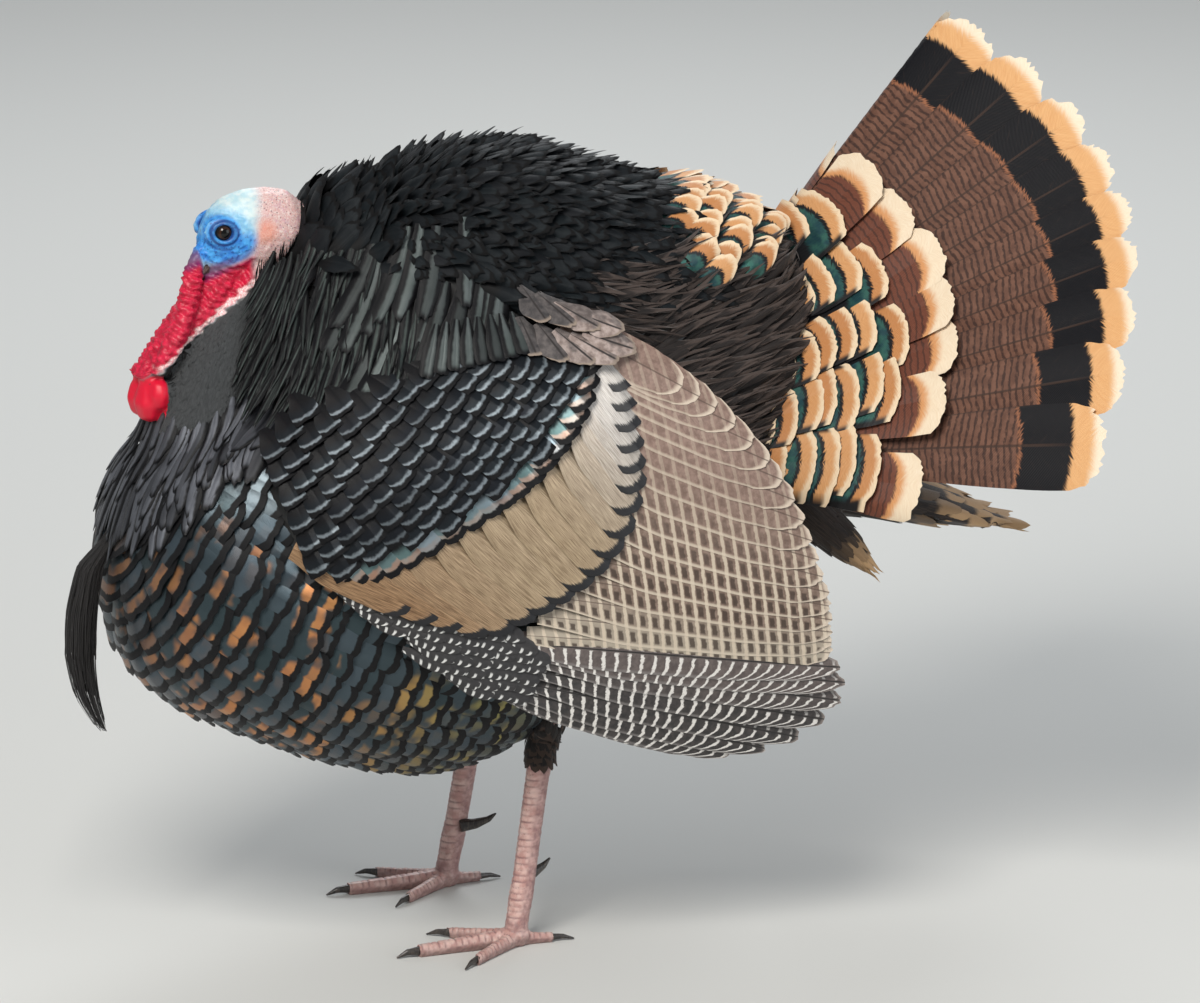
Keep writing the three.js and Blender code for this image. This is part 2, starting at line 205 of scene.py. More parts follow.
# %% Shader helpers
class Finish:
    """A material with a Principled surface, and short ways to add nodes to it."""

    def __init__(self, name, roughness=0.5, specular=0.4, sheen=None, **constants):
        self.material = bpy.data.materials.new(name)
        self.material.use_nodes = True
        self.nodes = self.material.node_tree.nodes
        self.links = self.material.node_tree.links
        self.surface = self.nodes["Principled BSDF"]
        constants |= {"Roughness": roughness, "Specular_IOR_Level": specular}
        if sheen:
            constants |= {"Sheen_Weight": sheen[0], "Sheen_Roughness": sheen[1]}
        for socket, value in constants.items():
            self.surface.inputs[socket.replace("_", " ")].default_value = value

    def feed(self, socket, value):
        if isinstance(value, Value):
            self.links.new(value.socket, socket)
        elif isinstance(value, tuple):
            socket.default_value = (*value, 1)
        else:
            socket.default_value = value

    def add(self, kind, output, *inputs, **settings):
        """A node with its inputs fed in order, and its settings made."""
        node = self.nodes.new(f"ShaderNode{kind}")
        for key, value in settings.items():
            setattr(node, key, value)
        for socket, value in zip(node.inputs, inputs):
            self.feed(socket, value)
        return Value(self, node.outputs[output])

    def stored(self, name):
        return self.add("Attribute", "Fac", attribute_name=name)

    def side(self):
        """How far out from the shaft, on either side."""
        return abs(self.stored("across"))

    def here(self):
        return self.add("TexCoord", "Object")

    def axes(self, vector):
        first = self.add("SeparateXYZ", 0, vector)
        return [Value(self, socket) for socket in first.socket.node.outputs]

    def vector(self, *parts):
        return self.add("CombineXYZ", 0, *parts)

    def math(self, kind, *values):
        return self.add("Math", 0, *values, operation=kind)

    def fraction(self, run, period):
        return self.math("FRACT", run / period)

    def bars(self, run, period):
        """0 on the middle line of every bar and 0.5 halfway to the next one."""
        return abs(self.fraction(run, period) - 0.5)

    def step(self, *numbers):
        """From low to high: value, low, high, and the results at both ends (0 and 1)."""
        return self.add("MapRange", "Result", *numbers, interpolation_type="SMOOTHSTEP")

    def texture(self, kind, output, vector, **sizes):
        node = self.nodes.new(f"ShaderNodeTex{kind}")
        self.feed(node.inputs["Vector"], vector)
        for key, size in sizes.items():
            node.inputs[key].default_value = size
        return Value(self, node.outputs[output])

    def noise(self, vector, scale, detail=3.0):
        return self.texture("Noise", "Fac", vector, Scale=scale, Detail=detail, Roughness=0.55)

    def cells(self, vector, scale):
        return self.texture("Voronoi", "Distance", vector, Scale=scale)

    def mix(self, share, a, b):
        """A colour between a and b. Sockets 6 and 7 are a Mix node's colours, 2 its result."""
        node = self.nodes.new("ShaderNodeMix")
        node.data_type = "RGBA"
        for index, value in ((0, share), (6, a), (7, b)):
            self.feed(node.inputs[index], value)
        return Value(self, node.outputs[2])

    def bump(self, height, strength=0.4, distance=0.0005):
        node = self.nodes.new("ShaderNodeBump")
        node.inputs["Strength"].default_value = strength
        node.inputs["Distance"].default_value = distance
        self.feed(node.inputs["Height"], height)
        self.links.new(node.outputs[0], self.surface.inputs["Normal"])

    def colour(self, value):
        self.set("Base Color", value)

    def set(self, socket, value):
        self.feed(self.surface.inputs[socket], value)

    def with_barbs(self, spacing=0.0011, slant=0.9, strength=0.35, depth=0.0002):
        """The material, with fine ridges that leave the shaft towards the tip on both sides."""
        line = self.side() * (slant * 0.01) + self.stored("from_tip")
        self.bump(self.math("SINE", line * (2 * math.pi / spacing)), strength, depth)
        return self.material


print("helpers:", ", ".join(name for name in vars(Finish) if name[0] != "_"))

# %% [markdown]
# ## The skin
#
# Under the plumage the bird is one skin. The packed flesh solids are copied, joined and
# remeshed in small voxels, which closes the thin cuts between them, and the result is
# smoothed and drawn in by the depth of the plumage. The same form, before it is drawn in,
# tells the feathers where the surface of the body is. The naked head and throat need finer
# folds, so that part is remeshed in much smaller voxels and then joined on.
# %% Remesh the flesh
def to_mesh(bm, name):
    """A mesh with smooth shading from a bmesh, which is freed."""
    mesh = bpy.data.meshes.new(name)
    bm.to_mesh(mesh)
    bm.free()
    mesh.polygons.foreach_set("use_smooth", np.ones(len(mesh.polygons), dtype=bool))
    return mesh


def joined_copy(names):
    bm = bmesh.new()
    for name in names:
        bm.from_mesh(frame["nodes"][name].data)
    bmesh.ops.remove_doubles(bm, verts=bm.verts, dist=1e-5)
    bmesh.ops.recalc_face_normals(bm, faces=bm.faces)
    return to_mesh(bm, "flesh")


def remeshed(mesh, voxel):
    """The mesh wrapped again in even quads, as a bmesh."""
    holder = bpy.data.objects.new("holder", mesh)
    bpy.context.scene.collection.objects.link(holder)
    wrap = holder.modifiers.new("wrap", "REMESH")
    wrap.mode = "VOXEL"
    wrap.voxel_size = voxel
    graph = bpy.context.evaluated_depsgraph_get()
    result = bpy.data.meshes.new_from_object(holder.evaluated_get(graph))
    bpy.data.objects.remove(holder)
    bm = bmesh.new()
    bm.from_mesh(result)
    bpy.data.meshes.remove(result)
    return bm


def smooth(bm, times, factor=0.5, verts=None):
    for _ in range(times):
        bmesh.ops.smooth_vert(
            bm, verts=verts or bm.verts, factor=factor, use_axis_x=True, use_axis_y=True, use_axis_z=True
        )


def rays_of(names, voxel, rounds=0):
    """Something to shoot rays at: the named solids wrapped as one and smoothed."""
    bm = remeshed(joined_copy(names), voxel * MM)
    smooth(bm, rounds)
    print("wrapped", ", ".join(names), "in", len(bm.faces), "quads")
    return BVHTree.FromBMesh(bm)


SIDES = ("left", "right")
BODY_FLESH = ["breast", "trunk", "mantle", "rump"]
WING_FLESH = [f"wing_{part}_{side}" for part in ("shoulder", "greater_coverts") for side in SIDES]
THIGH_FLESH = ["thigh_left", "thigh_right"]
HEAD_FLESH = ["head", "neck", "wattle", "caruncles", "snood"]

body_rays = rays_of(BODY_FLESH + ["neck"], 6, 12)


# %% [markdown]
# ## A surface to lay feathers on
#
# Feathers are laid on sheets. A sheet is any surface with two running measures that gives a
# point and an outward normal. A dome reads the rounded body by rays from a point inside it;
# the wing is a slab of a long barrel; the tail fan is a wide cone. All the feathers of one
# sheet are made together with array arithmetic, because a loop over each one would take
# minutes.
# %% Sheets
def reach_along(rays, middle, way, outside=None):
    """How far the surface is from middle along way, read from inside or from outside."""
    if outside is None:
        return rays.ray_cast(middle, way)[3]
    hit = rays.ray_cast(middle + way * outside, -way)[3]
    return None if hit is None else outside - hit


def read_grid(grid, row, column):
    """The value of a grid at places between its corners."""
    i = np.clip(row.astype(int), 0, grid.shape[0] - 2)
    j = np.clip(column.astype(int), 0, grid.shape[1] - 2)
    f, g = row - i, column - j
    low = grid[i, j] * (1 - g) + grid[i, j + 1] * g
    high = grid[i + 1, j] * (1 - g) + grid[i + 1, j + 1] * g
    return low * (1 - f) + high * f


class Dome:
    """The body round a centre. a is the angle from the pole, b the angle round it."""

    def __init__(self, rays, centre, pole, steps=121, outside=None):
        self.centre = centre
        self.pole = Vector(pole).normalized()
        self.side = Vector((0, -1, 0))
        self.front = self.side.cross(self.pole)
        a = np.linspace(0, math.pi, steps)
        b = np.linspace(-math.pi, math.pi, 2 * steps - 1)
        reach = np.zeros((len(a), len(b)))
        directions = self.directions(a[:, None], b[None, :])
        for i in range(len(a)):
            for j in range(len(b)):
                reach[i, j] = reach_along(rays, centre, Vector(directions[i, j]), outside) or 0.0
        for _ in range(3):
            around = np.concatenate([reach[:, -2:-1], reach, reach[:, 1:2]], axis=1)
            reach = (around[:, :-2] + 2 * reach + around[:, 2:]) / 4
            along = np.concatenate([reach[:1], reach, reach[-1:]], axis=0)
            reach = (along[:-2] + 2 * reach + along[2:]) / 4
        self.reach = reach

    def directions(self, a, b):
        pole, front, side = (np.array(v) for v in (self.pole, self.front, self.side))
        a, b = both(a, b)
        ring = np.cos(b)[..., None] * front + np.sin(b)[..., None] * side
        return np.cos(a)[..., None] * pole + np.sin(a)[..., None] * ring

    def point(self, a, b):
        a, b = both(a, b)
        row = np.clip(a / math.pi, 0, 1) * (self.reach.shape[0] - 1)
        column = (np.mod(b + math.pi, 2 * math.pi) / (2 * math.pi)) * (self.reach.shape[1] - 1)
        far = read_grid(self.reach, row, column)
        return np.array(self.centre) + self.directions(a, b) * far[..., None]

    def unwrap(self, a, b):
        spread = 0.48 * np.asarray(a) / math.pi
        return np.stack([0.5 + spread * np.cos(b), 0.5 + spread * np.sin(b)], axis=-1)


def both(a, b):
    return np.broadcast_arrays(np.asarray(a, float), np.asarray(b, float))


def arrows(x, y, z):
    """Points or directions from their parts; a part may be one number for all."""
    return np.stack(np.broadcast_arrays(x, y, z), axis=-1).astype(float)


def steps_on(sheet, a, b, nudge=0.004):
    """How the point moves with a and with b, and the outward normal."""
    by_a = (sheet.point(a + nudge, b) - sheet.point(a - nudge, b)) / (2 * nudge)
    by_b = (sheet.point(a, b + nudge) - sheet.point(a, b - nudge)) / (2 * nudge)
    normal = np.cross(by_a, by_b)
    normal /= np.maximum(np.linalg.norm(normal, axis=-1, keepdims=True), 1e-12)
    return by_a, by_b, normal


print("halfway from 1 to 3:", read_grid(np.array([[1, 3], [1, 3]]), np.zeros(1), np.full(1, 0.5))[0])

# %% [markdown]
# ## One feather, many times
#
# A feather starts as a small grid: across is -1 to 1 from edge to edge, along is 0 at the
# quill and 1 at the tip. Its sides are narrowed at the quill, its tip rounded or squared, its
# edge combed into barbs, and its middle raised along the shaft. Copies are draped over the
# sheet from their roots, lifted a little towards the tip so that each row lies on the next.
# Each corner stores where it is on its feather, and the finishes read those numbers.
# %% Feather maker
def feather_grid(columns, rows):
    bm = bmesh.new()
    bmesh.ops.create_grid(bm, x_segments=columns, y_segments=rows, size=1)
    bm.verts.ensure_lookup_table()
    across = np.array([v.co.x for v in bm.verts])
    along = np.array([(v.co.y + 1) / 2 for v in bm.verts])
    faces = np.array([[v.index for v in f.verts] for f in bm.faces])
    bm.free()
    return across, along, faces


print("a breast feather has", len(feather_grid(8, 9)[2]), "faces")

# %% Feather meshes
def mesh_from_arrays(name, points, faces, stored, bake_map):
    mesh = bpy.data.meshes.new(name)
    corners = faces.shape[1]
    mesh.vertices.add(len(points))
    mesh.vertices.foreach_set("co", points.astype(np.float32).ravel())
    mesh.loops.add(faces.size)
    mesh.loops.foreach_set("vertex_index", faces.astype(np.int32).ravel())
    mesh.polygons.add(len(faces))
    mesh.polygons.foreach_set("loop_start", np.arange(0, faces.size, corners, dtype=np.int32))
    mesh.polygons.foreach_set("use_smooth", np.ones(len(faces), dtype=bool))
    mesh.update(calc_edges=True)
    for key, values in stored.items():
        layer = mesh.attributes.new(key, "FLOAT", "POINT")
        layer.data.foreach_set("value", values.astype(np.float32).ravel())
    layer = mesh.uv_layers.new(name="OFBake")
    layer.data.foreach_set("uv", bake_map[faces.ravel()].astype(np.float32).ravel())
    mesh.validate()
    return mesh


def add_piece(name, mesh, material, slot, *nodes):
    mesh.materials.clear()
    mesh.materials.append(material)
    piece = bpy.data.objects.new(name, mesh)
    bpy.context.scene.collection.objects.link(piece)
    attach(piece, "root")
    if nodes:
        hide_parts(*nodes)
    faces = sum(len(p.vertices) - 2 for p in mesh.polygons)
    print(f"{name}: {faces} triangles")
    return piece


print("what a corner stores is on its point, and the map is OFBake")

# %% Lay feathers on a sheet
def as_batch(points, faces, bake, **stored):
    """Feathers that share one grid, as flat arrays with what each corner stores."""
    count, size = points.shape[:2]
    starts = (np.arange(count) * size)[:, None, None]
    flat = np.ones((count, size))
    return {
        "points": points.reshape(-1, 3),
        "faces": (faces + starts).reshape(-1, 4),
        "bake": bake.reshape(-1, 2),
        "stored": {key: values * flat for key, values in stored.items()},
    }


def lay_feathers(
    sheet, a, b, flow, length, width,
    columns=6, rows=8, quill=0.3, fullest=0.6, tip=0.25, tip_power=2.2, tip_narrow=0.12,
    comb=0.03, base=0.0, lift=4.0, curl=0.0, camber=0.12, roll=0.0, ridge=0.0003,
    sway=0.0, zone=0.0, patch=(0.003, 0.003), patch_at=None, waver=0.0, twist=0.0,
):
    """Feathers on a sheet, as arrays. Lengths are in metres, angles in degrees.
    flow is the way each points; width is from shaft to edge; roll raises one edge."""
    count = len(a)

    def each(value):
        return np.broadcast_to(np.asarray(value, float), (count,))[:, None]

    across, along, faces = feather_grid(columns, rows)
    u, v = across[None, :], along[None, :]
    length, width = each(length), each(width)
    outline = quill + (1 - quill) * soft_step(v, -0.05, fullest)
    outline = outline * (1 - tip_narrow * soft_step(v, 0.7, 1.0))
    rounding = 1 - tip * np.abs(u) ** tip_power * v**2
    teeth = vary(-1, 1, (count, columns + 1))
    tooth = teeth[:, np.rint((across + 1) / 2 * columns).astype(int)]
    reach = length * v * rounding * (1 + comb * tooth * v**5)
    spread = width * u * outline
    if waver:
        phase = vary(0, 6.28, (count, 1))
        spread = spread + waver * length * np.sin(phase + 2.6 * v) * v**1.5
    spread = spread + each(sway) * length * v**2
    rise = np.radians(each(lift))
    height = each(base) + reach * np.sin(rise) + each(curl) * length * v**2
    height = height - camber * width * u**2 * outline + each(roll) * width * u
    height = height + ridge * (1 - np.minimum(np.abs(u) * 3, 1)) * (1 - 0.6 * v)
    if twist:
        height = height + twist * width * u * v * chance.normal(0, 1, (count, 1))

    by_a, by_b, normal = steps_on(sheet, a, b)
    flow = np.broadcast_to(np.asarray(flow, float), (count, 3))
    ahead = flow - np.sum(flow * normal, axis=1, keepdims=True) * normal
    ahead /= np.maximum(np.linalg.norm(ahead, axis=1, keepdims=True), 1e-9)
    aside = np.cross(normal, ahead)
    aa, bb = np.sum(by_a**2, 1), np.sum(by_b**2, 1)
    ab = np.sum(by_a * by_b, 1)
    solve = np.maximum(aa * bb - ab**2, 1e-12)

    def to_sheet(vector):
        on_a, on_b = np.sum(vector * by_a, 1), np.sum(vector * by_b, 1)
        return (on_a * bb - on_b * ab) / solve, (on_b * aa - on_a * ab) / solve

    ahead_a, ahead_b = (c[:, None] for c in to_sheet(ahead))
    aside_a, aside_b = (c[:, None] for c in to_sheet(aside))
    forward = reach * np.cos(rise)
    at_a = a[:, None] + forward * ahead_a + spread * aside_a
    at_b = b[:, None] + forward * ahead_b + spread * aside_b
    points = sheet.point(at_a, at_b) + steps_on(sheet, at_a, at_b)[2] * height[..., None]

    roots = sheet.unwrap(a, b) if patch_at is None else patch_at
    bake = np.empty(points.shape[:2] + (2,))
    bake[..., 0] = roots[:, 0, None] + patch[0] * (u + 1) / 2
    bake[..., 1] = roots[:, 1, None] + patch[1] * v
    return as_batch(
        points, faces, bake, across=u, along=v, from_tip=length - length * v,
        pick=vary(0, 1, (count, 1)), zone=each(zone),
    )


print("each corner stores across, along, from_tip, pick and zone")

# %% Batches of feathers
def together(batches):
    """Several batches of feathers as one."""
    faces, start = [], 0
    for batch in batches:
        faces.append(batch["faces"] + start)
        start += len(batch["points"])
    return {
        "points": np.concatenate([batch["points"] for batch in batches]),
        "faces": np.concatenate(faces),
        "bake": np.concatenate([batch["bake"] for batch in batches]),
        "stored": {
            key: np.concatenate([batch["stored"][key].ravel() for batch in batches])
            for key in batches[0]["stored"]
        },
    }


def mirrored(batch):
    """The same feathers on the bird's other side."""
    return {
        "points": batch["points"] * np.array([1, -1, 1]),
        "faces": batch["faces"][:, ::-1],
        "bake": batch["bake"],
        "stored": batch["stored"],
    }


def plumage(name, batch, material, slot, *nodes):
    mesh = mesh_from_arrays(name, batch["points"], batch["faces"], batch["stored"], batch["bake"])
    return add_piece(name, mesh, material, slot, *nodes)


def both_sides(name, batch, material, slot, *nodes):
    """A piece on the left and its mirror image on the right."""
    for side, feathers in zip(SIDES, (batch, mirrored(batch))):
        plumage(f"{name}_{side}", feathers, material, slot, *[f"{node}_{side}" for node in nodes])


print("a batch can be joined, mirrored and made a piece on", " and ".join(SIDES))

# %% Roots in rings
def rings_on(dome, first, last, row_step, spacing, jitter=0.12):
    """Roots in staggered rings round a dome's pole, as far apart as is asked."""
    a_all, b_all = [], []
    angle, ring = math.radians(first), 0
    fine = np.linspace(-math.pi, math.pi, 73)
    while angle < math.radians(last):
        loop = dome.point(np.full(73, angle), fine)
        steps = np.linalg.norm(np.diff(loop, axis=0), axis=1)
        walked = np.concatenate([[0], np.cumsum(steps)])
        count = max(int(walked[-1] / spacing), 5)
        share = (np.arange(count) + 0.5 * (ring % 2)) / count
        share = share + vary(-jitter, jitter, count) / count
        b = np.interp(np.mod(share, 1) * walked[-1], walked, fine)
        mean = np.linalg.norm(loop - np.array(dome.centre), axis=1).mean()
        a = np.full(count, angle) + vary(-jitter, jitter, count) * row_step / mean
        a_all.append(a)
        b_all.append(b)
        angle += row_step / mean
        ring += 1
    return np.concatenate(a_all), np.concatenate(b_all)


def measured(points):
    """Points of the frame in millimetres from the middle of the feet."""
    return (np.array(points) - np.array(HOME)) / MM


print("millimetres are counted from", [round(v, 4) for v in HOME])

# %% [markdown]
# ## Feather finishes
#
# A turkey's body feather is black, but its outer half is built like a stack of thin films and
# throws back copper, green or grey-blue light, with a velvet black edge at the tip. That light is
# painted into the base colour, which is partly metallic so that it also tints the reflection. The
# bands follow the stored distance from the tip, so they stay the same width on long and short feathers.
# %% Finish for body feathers
def body_finish(
    name, root, sheen, band, edge, sheen_at, band_at, edge_at, metal=0.6, roughness=0.36, margin=0.95
):
    """Colours from quill to tip. Each *_at is the distance from the tip where it begins.
    The dark edge also runs up both sides, from margin outwards."""
    f = Finish(name, roughness, 0.18, (0.04, 0.4))
    pick, zone = f.stored("pick"), f.stored("zone")
    uneven = f.noise(f.here(), 260, 2)
    ripple = uneven * 0.004 - 0.002
    tip = f.stored("from_tip") + ripple
    side = f.side()
    tip = tip - side ** 3 * 0.004
    in_sheen = f.step(tip, sheen_at + 0.006, sheen_at - 0.004)
    in_band = f.step(tip, band_at + 0.0015, band_at - 0.0015)
    in_edge = f.step(tip, edge_at + 0.001, edge_at - 0.001)
    in_edge = f.math("MAXIMUM", in_edge, f.step(side, margin - 0.05, margin + 0.12))
    strength = zone * f.step(pick, 0.0, 0.5, 0.45, 1.0)
    in_band = in_band * strength
    glow = f.mix(pick, sheen[0], sheen[1])
    colour = f.mix(in_sheen, root, glow)
    colour = f.mix(in_band, colour, f.mix(f.noise(f.here(), 90, 1), band[0], band[1]))
    colour = f.mix(in_edge, colour, edge)
    f.colour(colour)
    plain = (1.0 - in_edge) * f.math("MAXIMUM", in_sheen, in_band)
    f.set("Metallic", plain * metal)
    f.set("Roughness", in_edge * 0.22 + roughness)
    return f.with_barbs()


BLACK = (0.005, 0.005, 0.006)


def breast_finish_of():
    f = Finish("breast_feather", 0.36, 0.2, (0.04, 0.4))
    pick, zone, side, here = f.stored("pick"), f.stored("zone"), f.side(), f.here()
    x, _, z = f.axes(here)
    uneven = f.noise(here, 240, 2)
    tip = uneven * 0.003 + (f.stored("from_tip") - 0.0015)
    tip = tip - side ** 3 * 0.0045
    in_sheen = f.step(tip, 0.034, 0.014)
    in_band = f.step(tip, 0.015, 0.0125) * f.step(side, 0.8, 0.55)
    in_edge = f.step(tip, 0.0066, 0.0052)
    patchy = f.step(f.noise(here, 30, 2), 0.44, 0.58)
    strength = zone * (f.step(pick, 0.3, 0.55, 0.08, 1.0) * patchy)
    in_band = in_band * strength
    # The slate colour is painted sheen, and a fixed patch of the upper breast is lightened to silver as
    # a painted highlight.
    slate = f.mix(pick, (0.075, 0.1, 0.12), (0.036, 0.056, 0.062))
    painted_highlight = f.step(z, 0.375, 0.41) * (f.step(x, -0.33, -0.29) * f.step(x, -0.23, -0.26))
    slate = f.mix(painted_highlight * 0.8, slate, (0.24, 0.29, 0.32))
    copper = f.mix(f.noise(here, 60, 1), (0.42, 0.16, 0.085), (0.58, 0.28, 0.1))
    gold = f.mix(f.noise(here, 60, 1), (0.46, 0.31, 0.09), (0.22, 0.26, 0.11))
    glow = f.mix(f.step(x, -0.27, -0.1), copper, gold)
    colour = f.mix(in_sheen, (0.01, 0.011, 0.013), slate)
    colour = f.mix(in_band, colour, glow)
    f.colour(f.mix(in_edge, colour, BLACK))
    plain = (1.0 - in_edge) * f.math("MAXIMUM", in_sheen, in_band)
    f.set("Metallic", plain * 0.65)
    f.set("Roughness", in_edge * 0.2 + 0.34)
    return f.with_barbs()


breast_finish = breast_finish_of()
print("finish", breast_finish.name)

# %% A finish for streaked feathers
def streaked_finish(name, low, high, reach, roughness=0.38):
    """Black feathers with a streak of grey-green light down the middle, as wide as reach."""
    f = Finish(name, roughness, 0.18, (0.04, 0.4))
    side = f.side()
    grain = f.noise(f.here(), 170, 2)
    streak = f.step(grain * 0.3 + side, reach + 0.34, reach + 0.02)
    streak = streak * f.step(f.stored("from_tip"), 0.001, 0.0065)
    streak = streak * f.step(f.stored("pick"), 0.0, 0.7, 0.3, 1.0)
    f.colour(f.mix(streak, BLACK, f.mix(f.noise(f.here(), 45, 2), low, high)))
    f.set("Metallic", streak * 0.45)
    return f.with_barbs()


strand_finish = streaked_finish("ruff_strand", (0.016, 0.024, 0.024), (0.066, 0.08, 0.074), 0.16)
blade_finish = streaked_finish("ruff_blade", (0.05, 0.068, 0.062), (0.15, 0.166, 0.168), 0.34)
bib_finish = streaked_finish("bib_feather", (0.05, 0.053, 0.062), (0.17, 0.18, 0.205), 0.4)
mantle_finish = body_finish(
    "mantle_feather", (0.0025, 0.0025, 0.003), ((0.008, 0.009, 0.011), (0.005, 0.008, 0.01)),
    ((0.022, 0.026, 0.03), (0.02, 0.024, 0.026)), (0.0025, 0.0025, 0.003), 0.02, 0.009, 0.004,
    metal=0.3, roughness=0.55,
)
print("body finishes ready")

# %% [markdown]
# ## Breast and belly
#
# The breast feathers spread from the front of the keel, just above the beard, round both
# flanks and under the belly, like tiles from a ridge. Their tips are cut square. Each shows a
# slate sheen, a copper patch that turns to gold further back, and a broad black edge. A dome
# whose pole is that spot gives rows in the same order with no seam.
# %% Lay the breast
lower_dome = Dome(body_rays, place(-60, 0, 318), (-0.966, 0, 0.26))


def away_from_keel(points):
    away = points - np.array([-312.0, 0, 385])
    level = np.hypot(away[:, 0], away[:, 1])
    away[:, 2] = np.minimum(away[:, 2], -0.45 * level)
    away[:, 0] += 0.2 * np.linalg.norm(away, axis=1)
    return away


def bib_line(x):
    """The height above which the long feathers of the collar cover the breast."""
    return np.minimum(380 + 0.62 * (x + 300), 438)


def lay_breast():
    a, b = rings_on(lower_dome, 3, 164, 15.5 * MM, 22 * MM, 0.08)
    at = measured(lower_dome.point(a, b))
    x, _, z = at.T
    keep = (z < 446 + 24 * soft_step(x, -200, -150)) & ~((x > 60) & (z > 400))
    keep &= (z < bib_line(x) + 8) | (x > -150)
    a, b, at = a[keep], b[keep], at[keep]
    rear = soft_step(at[:, 0], -40, 90)
    low = soft_step(at[:, 2], 415, 345)
    copper = low * (1 - rear) * (0.5 + 0.5 * soft_step(at[:, 0], -320, -270))
    count = len(a)
    return lay_feathers(
        lower_dome, a, b, away_from_keel(at),
        length=(46 + 8 * rear) * MM * vary(0.94, 1.06, count),
        width=(16.5 + 1.5 * rear) * MM * vary(0.94, 1.06, count),
        columns=8, rows=9, tip=0.09, tip_power=4, tip_narrow=0.04, fullest=0.5, comb=0.03,
        base=-6.5 * MM, lift=9 + vary(-2, 2, count), camber=0.16,
        roll=vary(-0.06, 0.1, count), zone=copper,
    )


plumage("breast_plumage", lay_breast(), breast_finish, "body_plumage")

# %% [markdown]
# ## Columns
#
# Some feathered parts are long rather than round: the neck, each thigh and the bundle under
# the tail. For those a sheet is read by rays shot outwards from a straight line inside the
# part. One measure runs down the line and the other round it, so feathers that hang straight
# down follow one measure exactly.
# %% Column sheet
class Column:
    """A part round the line from start to end. a runs down the line, b round it."""

    def __init__(self, rays, start, end, steps=60, turns=49, outside=None):
        self.start = np.array(start)
        axis = Vector(end) - Vector(start)
        self.length = axis.length
        self.axis = np.array(axis.normalized())
        flat = Vector((0, -1, 0))
        side = (flat - flat.dot(axis.normalized()) * axis.normalized()).normalized()
        self.side = np.array(side)
        self.front = np.cross(self.side, self.axis)
        a = np.linspace(0, self.length, steps)
        b = np.linspace(-math.pi, math.pi, turns)
        reach = np.full((steps, turns), np.nan)
        for i, along in enumerate(a):
            middle = Vector(self.start + self.axis * along)
            for j, turn in enumerate(b):
                way = Vector(math.cos(turn) * self.front - math.sin(turn) * self.side)
                reach[i, j] = reach_along(rays, middle, way, outside) or np.nan
        reach = np.where(np.isnan(reach), np.nanmedian(reach), reach)
        for _ in range(2):
            padded = np.pad(reach, ((1, 1), (0, 0)), mode="edge")
            reach = (padded[:-2] + 2 * reach + padded[2:]) / 4
        self.reach = reach

    def point(self, a, b):
        a, b = both(a, b)
        row = np.clip(a / self.length, 0, 1) * (self.reach.shape[0] - 1)
        column = np.mod(b + math.pi, 2 * math.pi) / (2 * math.pi) * (self.reach.shape[1] - 1)
        far = read_grid(self.reach, row, column)
        ring = np.cos(b)[..., None] * self.front - np.sin(b)[..., None] * self.side
        return self.start + self.axis * a[..., None] + ring * far[..., None]

    def unwrap(self, a, b):
        return np.stack([0.5 + np.asarray(b) / 6.6, 0.02 + 0.95 * np.asarray(a) / self.length], axis=-1)


def column_roots(column, first, last, row_step, spacing, jitter=0.15):
    a_all, b_all = [], []
    along, ring = first, 0
    while along < last:
        level = int(min(along / column.length, 1) * (column.reach.shape[0] - 1))
        girth = column.reach[level].mean() * 2 * math.pi
        count = max(int(girth / spacing), 4)
        b = (np.arange(count) + 0.5 * (ring % 2) + vary(-jitter, jitter, count)) / count
        a_all.append(np.full(count, along) + vary(-jitter, jitter, count) * row_step)
        b_all.append(b * 2 * math.pi - math.pi)
        along += row_step
        ring += 1
    return np.concatenate(a_all), np.concatenate(b_all)


print("a column is read by", 60 * 49, "rays")

# %% [markdown]
# ## Ruff, mantle and rump
#
# A strutting gobbler draws its head down into a great ruff. The feathers of the neck sides are
# long and hang almost straight, with grey-green light on their middles; they start as thin
# strands at the throat and grow broad towards the shoulder. On the mantle they stand up in a
# jet black crest, and on the rump they are soft and hair-like. Mantle and rump share one dome,
# whose pole is at the nape and whose rays also meet the shoulders of the wings. The ruff is
# laid on a sheet that is measured square from the side, so that its feathers can hang.
# %% Lay the ruff
upper_rays = rays_of(BODY_FLESH + WING_FLESH + ["neck"], 6, 14)
upper_dome = Dome(upper_rays, place(0, 0, 478), (-0.94, 0, 0.34))


def upper_roots(row_step, spacing, first, last):
    a, b = rings_on(upper_dome, first, last, row_step, spacing)
    return a, b, measured(upper_dome.point(a, b))


def ruff_front(z):
    """How far forward the ruff reaches over the side of the neck at a height."""
    heights = [438, 474, 506, 542, 562, 574, 588, 606]
    return smooth_run(heights, [-232, -221, -209, -194, -186, -172, -148, -130], z)


def ruff_hem(x):
    """The height at which the ruff's tips end."""
    return smooth_run([-250, -200, -166, -141, -86, -50, -10], [438, 430, 432, 442, 458, 474, 492], x)


print("ruff hem at the throat", float(ruff_hem(-200)), "mm")

